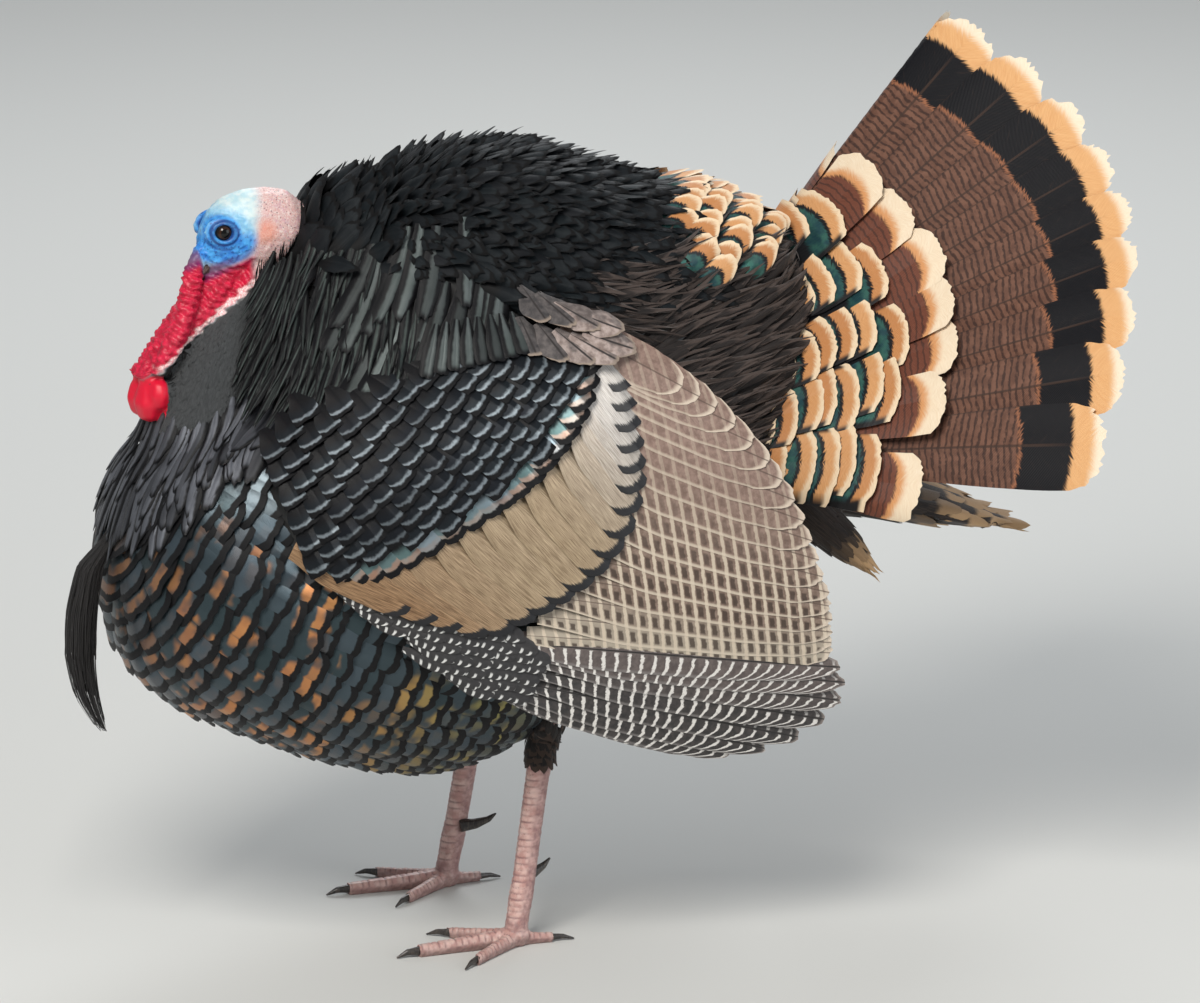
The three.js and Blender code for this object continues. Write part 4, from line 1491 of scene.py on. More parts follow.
class WingSheet:
    """The left wing's outer face. a is x and b is z, both measured from the feet."""

    HEIGHT = 300 * MM

    def __init__(self):
        names = [f"wing_{part}_left" for part in WING_PARTS]
        rays = rays_of(names, 5)
        xs = np.arange(-210, 240, 15)
        widths = []
        for x in xs:
            found = []
            for z in range(170, 500, 15):
                hit = rays.ray_cast(place(x, -400, z), Vector((0, 1, 0)))
                if hit[0] is not None:
                    share = 1 - ((z * MM - self.HEIGHT) / self.HEIGHT) ** 2
                    found.append((abs(hit[0].y) - 3 * MM) / math.sqrt(max(share, 0.2)))
            widths.append(np.median(found) if found else np.nan)
        widths = np.array(widths)
        known = ~np.isnan(widths)
        self.fit = np.polyfit(xs[known] * MM, widths[known], 4)
        self.low, self.high = xs[known][0] * MM, xs[known][-1] * MM

    def point(self, a, b):
        a, b = both(a, b)
        inside = np.clip(a, self.low - 0.01, self.high + 0.01)
        half = np.polyval(self.fit, inside)
        share = np.clip(1 - ((b - self.HEIGHT) / self.HEIGHT) ** 2, 0.1, 1)
        return arrows(a + HOME.x, -half * np.sqrt(share), b)

    def unwrap(self, a, b):
        return np.stack([(np.asarray(a) + 0.25) * 1.9, (np.asarray(b) - 0.12) * 2.2], axis=-1)


wing = WingSheet()
half_widths = np.polyval(wing.fit, np.array([-180, -100, 0, 100, 200]) * MM) / MM
print("wing half widths", [round(float(half)) for half in half_widths])


def heading(angle):
    """A direction on the wing: degrees below straight back."""
    angle = np.radians(angle)
    return arrows(np.cos(angle), 0, -np.sin(angle))


# %% [markdown]
# ## Flight feathers of the wing
#
# Ten primaries hang from the hand and eighteen secondaries from the forearm. In the
# folded wing each inner feather lies on its outer neighbour, so only the lower vane of each
# shows, as a narrow barred strip. That order is made by raising every feather's lower edge
# and seating each inner feather a little higher.
# %% Primaries and secondaries
def follow_curve(points, t):
    points = np.asarray(points, float)
    marks = np.linspace(0, 1, len(points))
    return np.stack([smooth_run(marks, points[:, k], t) for k in (0, 1)], axis=-1)


def remiges(count, tips, angles, lengths, widths, base, rise, roll):
    """Long feathers laid so that their tips fall on a curve. Angles, lengths and widths
    change evenly from the first feather to the last."""
    t = np.linspace(0, 1, count)
    tip = follow_curve(tips, t) * MM
    way = heading(np.linspace(*angles, count))
    lengths = np.linspace(*lengths, count) * MM
    root = tip - way[:, (0, 2)] * lengths[:, None]
    spots = np.stack([0.01 + np.arange(count) * 0.98 / count, np.full(count, 0.01)], axis=-1)
    return lay_feathers(
        wing, root[:, 0], root[:, 1], way, length=lengths, width=np.linspace(*widths, count) * MM,
        columns=12, rows=48, quill=0.35, fullest=0.35, tip=0.13, tip_power=2.4, tip_narrow=0.18,
        comb=0.008, base=(base + rise * t) * MM, lift=0, camber=0.1, roll=roll, ridge=0.0008,
        zone=t, patch=(0.86 / count, 0.96), patch_at=spots,
    )


PRIMARY_TIPS = [
    (62, 200), (96, 184), (124, 173), (150, 168), (178, 170), (205, 178), (226, 192), (237, 208),
    (238, 224), (233, 238),
]
SECONDARY_TIPS = [
    (226, 250), (224, 268), (222, 290), (214, 315), (202, 345), (186, 376), (162, 404), (132, 430),
    (104, 448),
]
primaries = remiges(10, PRIMARY_TIPS, (25, 9), (170, 290), (11, 17), -7.5, 5.5, -0.16)
secondaries = remiges(18, SECONDARY_TIPS, (8, 41), (255, 108), (17, 20), -2.5, 6.0, -0.13)
print("points on primaries", len(primaries["points"]), "and secondaries", len(secondaries["points"]))


# %% Finishes for the flight feathers
def primary_bars(f, side, rough, period=0.0108, waver=0.005):
    """Bars that slant towards the tip, waver, and start at another place on each feather."""
    run = side * (0.35 * period) + f.stored("from_tip")
    run = run + (rough * waver - 0.5 * waver)
    return f.bars(run + f.stored("pick") * period, period)


def primary_look():
    f = Finish("primary_vane", 0.44, 0.4, (0.1, 0.5))
    across, side, tip = f.stored("across"), f.side(), f.stored("from_tip")
    rough = f.noise(f.here(), 230, 3)
    white = f.step(primary_bars(f, side, rough), 0.165, 0.085) * f.step(side, 0.04, 0.14)
    white = white * f.step(f.noise(f.here(), 520, 2), 0.22, 0.42, 0.35, 1.0)
    white = white * f.step(across, 0.35, -0.1, 0.25, 1.0)
    dark = f.mix(f.step(rough, 0.3, 0.7), (0.02, 0.018, 0.018), (0.05, 0.042, 0.04))
    inner = f.mix(f.step(rough, 0.3, 0.7), (0.08, 0.062, 0.058), (0.13, 0.104, 0.096))
    ground = f.mix(f.step(f.stored("zone"), 0.62, 0.95), dark, inner)
    ground = f.mix(f.step(across, -0.8, -0.95, 0, 0.55), ground, (0.24, 0.22, 0.21))
    colour = f.mix(white, ground, (0.7, 0.67, 0.63))
    colour = f.mix(f.step(tip, 0.004, 0.0, 0, 0.7), colour, (0.34, 0.29, 0.26))
    f.colour(f.mix(f.step(side, 0.05, 0.02), colour, (0.01, 0.008, 0.007)))
    return f.with_barbs(0.0013, 1.4, 0.35, 0.00025)


def secondary_look():
    """Upright pale lines that cross every vane, with a dark spot in each gap."""
    f = Finish("secondary_vane", 0.48, 0.3, (0.08, 0.5))
    across, side, tip, zone = f.stored("across"), f.side(), f.stored("from_tip"), f.stored("zone")
    rough = f.noise(f.here(), 230, 3)
    x, _, z = f.axes(f.here())
    line = f.fraction(z * 0.12 + (rough * 0.0026 + x), 0.0095)
    upper = f.step(zone, 0.22, 0.72)
    lowest = f.step(zone, 0.2, 0.0)
    brown = f.mix(f.step(rough, 0.3, 0.7), (0.15, 0.1, 0.075), (0.25, 0.18, 0.14))
    plain = f.mix(f.step(rough, 0.3, 0.7), (0.185, 0.118, 0.094), (0.275, 0.185, 0.15))
    ground = f.mix(upper, brown, plain)
    ground = f.mix(lowest * 0.75, ground, (0.44, 0.39, 0.31))
    pale = f.step(abs(line - 0.22), 0.19, 0.1)
    pale = pale * f.step(upper, 0.0, 1.0, 0.92, 0.22)
    colour = f.mix(pale, ground, (0.58, 0.49, 0.38))
    spot = f.step(abs(line - 0.66), 0.26, 0.15)
    spot = spot * f.step(abs(across + 0.56), 0.3, 0.17)
    spot = spot * f.step(zone, 0.62, 0.25, 0.0, 0.85)
    colour = f.mix(spot, colour, (0.045, 0.028, 0.02))
    vane_edge = f.step(across, -0.82, -0.94) * f.step(upper, 0.0, 1.0, 0.8, 0.5)
    colour = f.mix(vane_edge, colour, (0.62, 0.53, 0.42))
    colour = f.mix(f.step(tip, 0.0065, 0.0015, 0, 0.8), colour, (0.66, 0.56, 0.45))
    f.colour(f.mix(f.step(side, 0.05, 0.02) * 0.7, colour, (0.08, 0.052, 0.04)))
    return f.with_barbs(0.0013, 1.4, 0.35, 0.00025)


primary_finish = primary_look()
secondary_finish = secondary_look()
print("finishes:", primary_finish.name, secondary_finish.name)


# %% Rows of small feathers on the wing
def inside(outline, x, z):
    """True where points lie within a closed outline."""
    outline = np.asarray(outline, float)
    result = np.zeros(len(x), dtype=bool)
    for (x0, z0), (x1, z1) in zip(outline, np.roll(outline, -1, axis=0)):
        crosses = (z0 > z) != (z1 > z)
        if z0 != z1:
            result ^= crosses & (x < (x1 - x0) * (z - z0) / (z1 - z0) + x0)
    return result


SHOULDER_EDGE = [
    (-212, 404), (-206, 376), (-187, 364), (-157, 372), (-121, 390), (-79, 412), (-51, 428), (-24, 451),
    (-3, 477), (9, 506), (-20, 514), (-70, 514), (-108, 500), (-150, 486), (-190, 470), (-216, 446),
]
shoulder = SideSheet(upper_rays, range(-225, 80, 9), range(318, 545, 9), 5, 3.0)


def wing_rows(edge, line_angle, row_step, spacing):
    """Roots in staggered rows inside an outline; rows run up the wing at line_angle."""
    turn = math.radians(line_angle)
    along = np.array([math.cos(turn), math.sin(turn)])
    down = np.array([math.sin(turn), -math.cos(turn)])
    middle = np.mean(edge, axis=0)
    grids = np.meshgrid(np.arange(-18, 19), np.arange(-24, 25), indexing="ij")
    row, step = (grid.ravel() for grid in grids)
    at = middle + (step + 0.5 * (row % 2))[:, None] * spacing * along + row[:, None] * row_step * down
    at = at + chance.normal(0, 0.05 * spacing, at.shape)
    keep = inside(edge, at[:, 0], at[:, 1])
    order = np.argsort(-row[keep], kind="stable")
    return at[keep][order]


print("shoulder outline has", len(SHOULDER_EDGE), "corners")

# %% Shapes of the small feathers
def lay_lesser():
    at = wing_rows(SHOULDER_EDGE, 46, 11.5, 17)
    count = len(at)
    front = soft_step(at[:, 0], -110, -190)
    return lay_feathers(
        shoulder, at[:, 0] * MM, at[:, 1] * MM, heading(46 + 6 * front + chance.normal(0, 1.2, count)),
        length=33 * MM * vary(0.96, 1.04, count), width=12.0 * MM,
        columns=10, rows=9, tip=0.04, tip_power=4, tip_narrow=0.0, comb=0.02, base=1.0 * MM,
        lift=7 + vary(-1, 1.5, count), camber=0.12, roll=-0.1 + vary(-0.03, 0.03, count),
        zone=1.0,
    )


def tipped_row(tips, angles, lengths, count, sheet=wing, **shape):
    """One row of feathers on the wing whose tips fall on a curve."""
    t = np.linspace(0, 1, count)
    way = heading(smooth_run(np.linspace(0, 1, len(angles)), angles, t))
    length = smooth_run(np.linspace(0, 1, len(lengths)), lengths, t)
    root = follow_curve(tips, t) - way[:, (0, 2)] * length[:, None]
    return lay_feathers(sheet, root[:, 0] * MM, root[:, 1] * MM, way, length=length * MM, **shape)


GREATER_TIPS = [
    (-104, 318), (-72, 303), (-42, 292), (-13, 302), (12, 314), (36, 331), (54, 354), (65, 383),
    (67, 409), (66, 436), (64, 462),
]
MEDIAN_TIPS = [
    (-158, 336), (-128, 343), (-92, 361), (-50, 383), (-22, 399), (5, 422), (26, 448), (38, 476),
]


def lay_greater(count=19):
    t = np.linspace(0, 1, count)
    spots = np.stack([0.01 + t * 0.9, np.full(count, 0.01)], axis=-1)
    return tipped_row(
        GREATER_TIPS, (24, 40, 52, 59, 62), (108, 108, 96, 74, 50), count,
        width=np.linspace(17, 14, count) * MM, columns=10, rows=20, quill=0.5, fullest=0.35, tip=0.1,
        tip_power=2.6, tip_narrow=0.06, comb=0.008, base=np.linspace(2.0, 4.0, count) * MM, lift=0.6,
        camber=0.14, roll=-0.15, ridge=0.0006, zone=t, patch=(0.045, 0.9), patch_at=spots,
    )


def lay_median():
    """The shining row that covers the roots of the bronze feathers."""
    return tipped_row(
        MEDIAN_TIPS, (38, 46, 54, 62), (42, 46, 46, 40), 19, shoulder, width=12.0 * MM, columns=10,
        rows=12, tip=0.08, tip_power=3.2, tip_narrow=0.02, comb=0.015, base=-2.0 * MM, lift=7,
        camber=0.14, roll=-0.1, zone=1.0,
    )


def lay_scapulars():
    """Broad plain feathers that close the wing at the elbow, in two rows."""
    shape = dict(
        sheet=shoulder, width=13 * MM, columns=12, rows=16, tip=0.3, comb=0.03, camber=0.22,
        roll=-0.12, patch=(0.02, 0.04),
    )
    upper = tipped_row(
        [(6, 506), (34, 500), (62, 497)], (74, 58, 42), (40, 42, 42), 4, base=6 * MM,
        lift=4 + vary(-1, 1, 4), zone=np.linspace(0.05, 0.8, 4), **shape,
    )
    lower = tipped_row(
        [(-4, 488), (16, 483), (36, 480), (54, 480), (70, 486)], (78, 64, 50, 36), (38, 42, 44), 5,
        base=np.linspace(3, 5, 5) * MM, lift=4 + vary(-1, 1, 5), zone=np.linspace(0.1, 0.95, 5), **shape,
    )
    return together([lower, upper])


def lay_hangers():
    """Slate feathers that hang between the ruff and the elbow."""
    tips = [(-82, 474), (-59, 480), (-35, 484), (-11, 489)]
    return tipped_row(
        tips, (98, 90, 82), (48, 44, 40), 8, shoulder, width=7.4 * MM, columns=8, rows=10, tip=0.08,
        tip_power=3.5, tip_narrow=0.02, comb=0.02, base=(4.0 + vary(-1, 1, 8)) * MM,
        lift=4 + vary(-1, 1, 8), camber=0.3, roll=-0.16, zone=1.0,
    )


PRIMARY_COVERT_EDGE = [
    (-190, 350), (-156, 351), (-119, 331), (-87, 313), (-56, 300), (-34, 276), (-56, 240), (-92, 257),
    (-122, 276), (-146, 303), (-186, 332),
]


def lay_primary_coverts():
    at = wing_rows(PRIMARY_COVERT_EDGE, 62, 14, 8.5)
    count = len(at)
    return lay_feathers(
        wing, at[:, 0] * MM, at[:, 1] * MM, heading(25 + chance.normal(0, 1.5, count)),
        length=42 * MM, width=7.0 * MM, columns=6, rows=10, tip=0.16, comb=0.02, base=-1.0 * MM,
        lift=3.0, camber=0.15, roll=-0.15, zone=soft_step(at[:, 0], -20, -120),
    )


print("bronze feathers end on", len(GREATER_TIPS), "marks")

# %% Finishes for the small feathers
# The lesser coverts carry a thin grey painted sheen line just inside the black tip, and the median row a
# pale blue-silver painted sheen strip with copper patches.
lesser_finish = body_finish(
    "lesser_covert", (0.004, 0.004, 0.005), ((0.01, 0.012, 0.016), (0.014, 0.018, 0.022)),
    ((0.24, 0.27, 0.3), (0.14, 0.17, 0.185)), (0.003, 0.003, 0.004), 0.012, 0.0062, 0.0036, metal=0.5,
    roughness=0.4, margin=1.4,
)
median_finish = body_finish(
    "median_covert", (0.008, 0.008, 0.01), ((0.24, 0.3, 0.34), (0.1, 0.17, 0.17)),
    ((0.36, 0.15, 0.07), (0.3, 0.36, 0.36)), (0.004, 0.004, 0.005), 0.017, 0.01, 0.0052, metal=0.6,
    roughness=0.32, margin=1.4,
)


def scapular_look():
    f = Finish("scapular", 0.5, 0.35, (0.2, 0.5))
    side, tip = f.side(), f.stored("from_tip")
    rough = f.noise(f.here(), 200, 3)
    grey = f.mix(f.step(rough, 0.3, 0.7), (0.03, 0.027, 0.028), (0.085, 0.074, 0.072))
    warm = f.mix(f.step(rough, 0.3, 0.7), (0.2, 0.145, 0.125), (0.4, 0.32, 0.29))
    dark_side = f.step(f.stored("across") * 0.25 + f.noise(f.here(), 70, 2), 0.45, 0.6)
    colour = f.mix(f.step(f.stored("zone"), 0.25, 0.65), grey, f.mix(dark_side * 0.6, warm, grey))
    rim = f.step(tip - side ** 4 * 0.004, 0.0042, 0.0012)
    colour = f.mix(f.step(side, 0.1, 0.03), colour, (0.02, 0.015, 0.014))
    f.colour(f.mix(rim, colour, f.mix(rough, (0.16, 0.12, 0.1), (0.34, 0.27, 0.21))))
    return f.with_barbs(0.0012, 1.4)


def bronze_finish():
    f = Finish("bronze_covert", 0.4, 0.45, (0.12, 0.4))
    tip, side, pick = f.stored("from_tip"), f.side(), f.stored("pick")
    streak = f.noise(f.vector(f.stored("across") * 7.0, tip * 14.0, pick), 5, 3)
    streak = f.step(streak, 0.25, 0.75)
    warm = f.mix(streak, (0.12, 0.062, 0.03), (0.42, 0.26, 0.14))
    middle = f.mix(streak, (0.2, 0.135, 0.08), (0.52, 0.4, 0.26))
    grey = f.mix(streak, (0.24, 0.22, 0.2), (0.56, 0.53, 0.5))
    colour = f.mix(f.step(f.stored("zone"), 0.05, 0.4), warm, middle)
    colour = f.mix(f.step(f.stored("zone"), 0.5, 0.9), colour, grey)
    tip = tip - side ** 2.5 * 0.005
    tip = streak * 0.003 + tip
    colour = f.mix(f.step(tip, 0.0105, 0.0075), colour, (0.007, 0.007, 0.009))
    f.colour(colour)
    f.set("Metallic", f.step(tip, 0.008, 0.013) * 0.4)
    return f.with_barbs(0.0012, 1.3)


def spotted_finish():
    f = Finish("primary_covert", 0.42)
    tip, across, pick = f.stored("from_tip"), f.stored("across"), f.stored("pick")
    side = abs(across)
    spot = f.step(f.bars(side * 0.003 + (pick * 0.008 + tip), 0.0078), 0.19, 0.1)
    outer = f.step(across, -0.15, -0.45) * f.step(side, 0.98, 0.8)
    spot = spot * outer
    ground = f.mix(f.noise(f.here(), 240, 2), (0.012, 0.012, 0.014), (0.045, 0.042, 0.042))
    f.colour(f.mix(spot, ground, (0.62, 0.62, 0.6)))
    return f.with_barbs(0.0012, 1.3, 0.3)


print("finishes:", lesser_finish.name, median_finish.name)

# %% Lay the feathers of both wings
WING_FEATHERS = [  # name, feathers, finish, slot, the nodes they replace
    ("lesser", lay_lesser(), lesser_finish, "body_plumage", ()),
    ("median", lay_median(), median_finish, "body_plumage", ()),
    ("scapular", lay_scapulars(), scapular_look(), "body_plumage", ()),
    ("hanging", lay_hangers(), blade_finish, "body_plumage", ()),
    ("greater", lay_greater(), bronze_finish(), "bronze_plumage", ()),
    ("primary_covert", lay_primary_coverts(), spotted_finish(), "barred_plumage", ()),
    ("primary", primaries, primary_finish, "barred_plumage", ("wing_primaries",)),
    ("secondary", secondaries, secondary_finish, "barred_plumage", ("wing_secondaries",)),
]
for name, batch, look, slot, nodes in WING_FEATHERS:
    both_sides(f"{name}_feathers", batch, look, slot, *nodes)

# %% [markdown]
# ## The fan
#
# Eighteen tail feathers spread on a wide cone that opens backwards, and the lesser rows of
# coverts lie on its face as a rosette. The fan sheet repeats the driving sizes of the packed
# fan. The middle feathers lie on top, so every feather shows
# its shaft and its outer vane. The tips are cream, frayed like a brush, then buff, and a black
# band crosses the whole fan in one arc.
# %% Fan sheet
FAN = {
    "centre": (159, 0, 373.5), "arc": 47, "lift": 0.109, "cone": math.radians(44),
    "cup": math.radians(13.4), "sweep": math.radians(85), "feathers": 18,
    "length": 383, "swell": 0.066, "taper": 0.054,
}


FAN_SLOPE = math.sin(FAN["cone"])  # how fast the fan's radius grows along a feather


def fan_half_angle(turn):
    """The cone's half angle, which closes a little halfway down each side."""
    return FAN["cone"] - FAN["cup"] * np.sin(math.pi * np.minimum(np.abs(turn) / FAN["sweep"], 1.15))


class FanSheet:
    """The front face of the fan. a is the turn from the top, left positive; b the way out."""

    def __init__(self):
        self.axis = np.array(Vector((1, 0, FAN["lift"])).normalized())
        self.up = np.array([-self.axis[2], 0, self.axis[0]])
        self.side = np.array([0.0, -1.0, 0.0])
        self.centre = np.array(place(*FAN["centre"]))

    def point(self, a, b):
        a, b = both(a, b)
        half = fan_half_angle(a)
        ring = np.cos(a)[..., None] * self.up + np.sin(a)[..., None] * self.side
        out = ring * (FAN["arc"] * MM + b * np.sin(half))[..., None]
        return self.centre + out + self.axis * (b * np.cos(half))[..., None]

    def unwrap(self, a, b):
        far = (np.asarray(b) + 0.05) * 1.5
        return np.stack([0.5 + far * np.sin(a), 0.02 + far * np.cos(a) * 0.9 + 0.1], axis=-1)


fan = FanSheet()


def reach_at(turn):
    share = np.abs(turn) / FAN["sweep"]
    return FAN["length"] * (1 + FAN["swell"] * np.sin(math.pi * share) - FAN["taper"] * share**2) * MM


top_of_fan = fan.point(np.array([0.0]), reach_at(np.array([0.0])))[0]


# %% Tail feathers
def lay_rectrices():
    turns = np.linspace(FAN["sweep"], -FAN["sweep"], FAN["feathers"])
    across, along, faces = feather_grid(24, 84)
    u, v = across[None, :], along[None, :]
    turn = turns[:, None]
    count = len(turns)
    reach = reach_at(turn) + 1.5 * MM
    teeth = vary(-1, 1, (count, 25))[:, np.rint((across + 1) * 12).astype(int)]
    round_off = 15 * MM * np.abs(u) ** 2.6 * soft_step(v, 0.75, 1)
    fray = 2.6 * MM * teeth * soft_step(v, 0.93, 1)
    out = reach * v - round_off + fray - 4 * MM * soft_step(v, 0.93, 1)
    half_width = (5 + 25.5 * soft_step(v, 0.0, 0.92) - 3.0 * soft_step(v, 0.95, 1.0)) * MM
    wander = 1.5 * MM * np.sin(vary(0, 6.28, (count, 1)) + 3 * v) * v
    radius = FAN["arc"] * MM + out * FAN_SLOPE
    a = turn + (u * half_width + wander) / radius
    outer = np.where(turn > 0, -u, u)
    split = 0.25 * MM * np.sin(out / MM * 0.9 + 9 * teeth) * np.abs(u) * soft_step(v, 0.3, 0.9)
    height = (1.2 + 1.9 * outer) * MM * soft_step(v, 0.0, 0.3) - 2.2 * MM * np.abs(u) ** 2 * v + split
    height = height + 0.9 * MM * (1 - np.minimum(np.abs(u) * 8, 1)) * (1 - 0.7 * v)
    height = height + 1.6 * MM * (1 - np.abs(turn) / FAN["sweep"])
    normal = steps_on(fan, a, out)[2]
    points = fan.point(a, out) + normal * height[..., None]
    strip = (np.arange(count)[:, None] + 0.06 + 0.44 * (u + 1)) / count
    bake = np.stack(np.broadcast_arrays(strip, 0.01 + 0.98 * v), -1)
    return as_batch(
        points, faces, bake, across=outer, along=v, from_tip=reach - out,
        pick=vary(0, 1, (count, 1)), zone=np.abs(turn) / FAN["sweep"],
    )


print("tail feathers:", FAN["feathers"])

# %% Finish for the tail feathers
def barb_grain(f, slant, wide):
    """Noise in streaks that follow the barbs, different on each feather."""
    run = (f.side() * slant + f.stored("from_tip")) * 420
    return f.noise(f.vector(run, f.stored("across") * wide, f.stored("pick")), 2.2, 3)


def rectrix_finish():
    f = Finish("rectrix_vane", 0.5, 0.16, (0.05, 0.5))
    across, tip, side, here = f.stored("across"), f.stored("from_tip"), f.side(), f.here()
    barb = barb_grain(f, 0.03, 1.2)
    rough = f.noise(here, 130, 3)
    ragged = barb * 0.012 + (tip - 0.006)
    ragged = ragged - side ** 2 * 0.004
    wave = rough * 0.006 + (side * 0.004 + tip)
    bars = f.step(f.bars(wave, 0.0056), 0.26, 0.12) * f.step(f.noise(here, 300, 2), 0.3, 0.5, 0.35, 1.0)
    rufous = f.mix(f.step(rough, 0.3, 0.7), (0.11, 0.05, 0.033), (0.172, 0.082, 0.054))
    brown = f.mix(bars * 0.85, rufous, (0.035, 0.017, 0.013))
    brown = f.mix(f.step(tip, 0.12, 0.3) * 0.45, brown, (0.05, 0.028, 0.022))
    black = f.mix(f.step(barb, 0.58, 0.75, 0, 0.55), (0.004, 0.004, 0.006), (0.03, 0.018, 0.014))
    line_band = f.mix(f.step(ragged, 0.078, 0.0755), brown, (0.3, 0.12, 0.06))
    colour = f.mix(f.step(ragged, 0.0755, 0.0735), line_band, black)
    buff = f.mix(barb, (0.6, 0.27, 0.095), (0.82, 0.5, 0.24))
    colour = f.mix(f.step(ragged, 0.0325, 0.029), colour, buff)
    cream = f.mix(barb, (0.8, 0.62, 0.42), (0.92, 0.84, 0.7))
    colour = f.mix(f.step(ragged, 0.017, 0.008), colour, cream)
    shaft = f.step(side, 0.045, 0.02) * f.step(tip, 0.02, 0.06)
    colour = f.mix(shaft * 0.8, colour, (0.045, 0.025, 0.018))
    edge = f.step(across, 0.93, 0.99) * f.step(tip, 0.05, 0.09)
    f.colour(f.mix(edge * 0.6, colour, (0.03, 0.018, 0.014)))
    return f.with_barbs(0.0014, 2.2, 0.35, 0.00025)


plumage(
    "tail_feathers", lay_rectrices(), rectrix_finish(), "tail_plumage",
    *[f"tail_feather_{i}" for i in range(1, FAN["feathers"] + 1)],
)


# %% Rosette of tail coverts
ROSETTE_ROWS = [  # how far out the tips are, length, half width, spacing, chestnut share
    (250, 104, 29, 46, 1.0),
    (204, 84, 33, 56, 0.0),
    (186, 78, 32, 54, 0.0),
    (168, 74, 31, 52, 0.0),
    (150, 70, 29, 49, 0.0),
    (131, 64, 27, 45, 0.0),
    (112, 58, 24, 40, 0.0),
    (93, 54, 21, 36, 0.0),
    (74, 48, 18, 30, 0.0),
    (55, 44, 15, 25, 0.0),
]


def lay_rosette():
    batches = []
    for tip_out, length, width, spacing, chestnut in ROSETTE_ROWS:
        radius = FAN["arc"] + (tip_out - 12) * FAN_SLOPE
        span = FAN["sweep"] * 1.06
        count = int(2 * span * radius / spacing)
        turn = np.linspace(span, -span, count) + chance.normal(0, 0.1, count) * spacing / radius
        share = np.abs(turn) / FAN["sweep"]
        tip = tip_out * (1 - 0.16 * np.minimum(share, 1) ** 5) + chance.normal(0, 2.2, count)
        root = tip - length
        ahead = steps_on(fan, turn, root * MM)[1]
        order = np.argsort(-np.abs(turn), kind="stable")
        raised = 7.0 + 10.0 * (250 - tip_out) / 200
        batches.append(
            lay_feathers(
                fan, turn[order], root[order] * MM, ahead[order], length=length * MM,
                width=width * MM * (FAN["arc"] + np.maximum(root[order], -15) * 0.69) / radius,
                columns=22, rows=16, quill=0.6, fullest=0.5, tip=0.12, tip_power=3.0, tip_narrow=0.04,
                comb=0.012, base=raised * MM, lift=3.2 + vary(-1, 1.5, count), camber=0.09,
                roll=0.1 * np.sign(-turn[order]) + chance.normal(0, 0.04, count), ridge=0.0005,
                zone=chestnut, patch=(0.012, 0.014), waver=0.006,
            )
        )
    return together(batches)


print("rosette rows:", len(ROSETTE_ROWS))

# %% Finish for the tail coverts
def covert_finish(name, band):
    """Buff to band metres from the tip, then black and a green-blue light."""
    f = Finish(name, 0.46, 0.25, (0.08, 0.5))
    tip, pick, chestnut = (f.stored(key) for key in ("from_tip", "pick", "zone"))
    side, here = f.side(), f.here()
    barb = barb_grain(f, 0.02, 1.5)
    ragged = barb * 0.009 + (tip - 0.0045)
    curved = ragged - side ** 2.2 * 0.006
    teal = f.mix(f.step(f.noise(here, 120, 2), 0.35, 0.65), (0.012, 0.05, 0.06), (0.03, 0.105, 0.085))
    dark = f.mix(f.step(curved, 0.04, 0.034), (0.01, 0.01, 0.012), teal)
    dark = f.mix(f.step(curved, band + 0.0048, band + 0.0028), dark, (0.006, 0.006, 0.008))
    buff = f.mix(barb, (0.5, 0.21, 0.07), (0.74, 0.41, 0.185))
    buff = f.mix(f.step(pick, 0.25, 0.9) * 0.62, buff, (0.44, 0.165, 0.05))
    pale_end = f.mix(barb, (0.74, 0.53, 0.32), (0.86, 0.72, 0.53))
    buff = f.mix(f.step(curved, 0.0065, 0.001), buff, pale_end)
    small = f.mix(f.step(curved, band + 0.0009, band - 0.0008), dark, buff)
    rim = f.step(side, 0.78, 0.93) * f.step(tip, 0.0035, 0.01)
    small = f.mix(rim, small, (0.01, 0.009, 0.01))
    wave = f.noise(here, 140, 2) * 0.005 + tip
    line = f.bars(wave, 0.0058)
    fox = f.mix(barb, (0.105, 0.03, 0.018), (0.19, 0.065, 0.036))
    fox = f.mix(f.step(line, 0.2, 0.1) * 0.6, fox, (0.028, 0.014, 0.011))
    cream = f.mix(barb, (0.74, 0.55, 0.36), (0.9, 0.79, 0.62))
    cream = f.mix(f.step(curved, 0.011, 0.02), cream, (0.64, 0.3, 0.12))
    large = f.mix(f.step(curved, 0.0245, 0.0205), fox, cream)
    f.colour(f.mix(f.step(chestnut, 0.3, 0.6), small, large))
    inner = f.step(curved, 0.022, 0.026) * (1.0 - f.step(chestnut, 0.3, 0.6))
    f.set("Metallic", inner * 0.55)
    return f.with_barbs(0.0013, 1.6, 0.4, 0.00025)


plumage(
    "rosette_feathers", lay_rosette(), covert_finish("tail_covert", 0.0138), "tail_covert_plumage",
    "tail_coverts_left", "tail_coverts_right",
)

# %% [markdown]
# ## Soft dark feathers
#
# On the rump, thighs and neck the barbs don't hook together, so these feathers look like
# hair: dull, streaked along their length and frayed. Their finish has no metallic light, only
# a little sheen, and streaks that are stretched along the feather.
# %% Finish for soft feathers
def soft_finish(name, dark, light, tip_colour, tip_at, roughness=0.6):
    f = Finish(name, roughness, 0.2, (0.12, 0.5))
    tip, pick = f.stored("from_tip"), f.stored("pick")
    rough = f.noise(f.here(), 240, 3)
    streak = f.noise(f.vector(f.stored("across") * 4.0, tip * 12.0, pick), 5, 2)
    colour = f.mix(f.step(streak, 0.35, 0.7), dark, light)
    ragged = rough * 0.006 + (tip - 0.003)
    share = f.step(ragged, tip_at * 1.15, tip_at * 0.8) * f.stored("zone")
    f.colour(f.mix(share, colour, tip_colour))
    return f.with_barbs(0.0012, 1.5, 0.3)


print("soft feathers have a sheen and no metal")

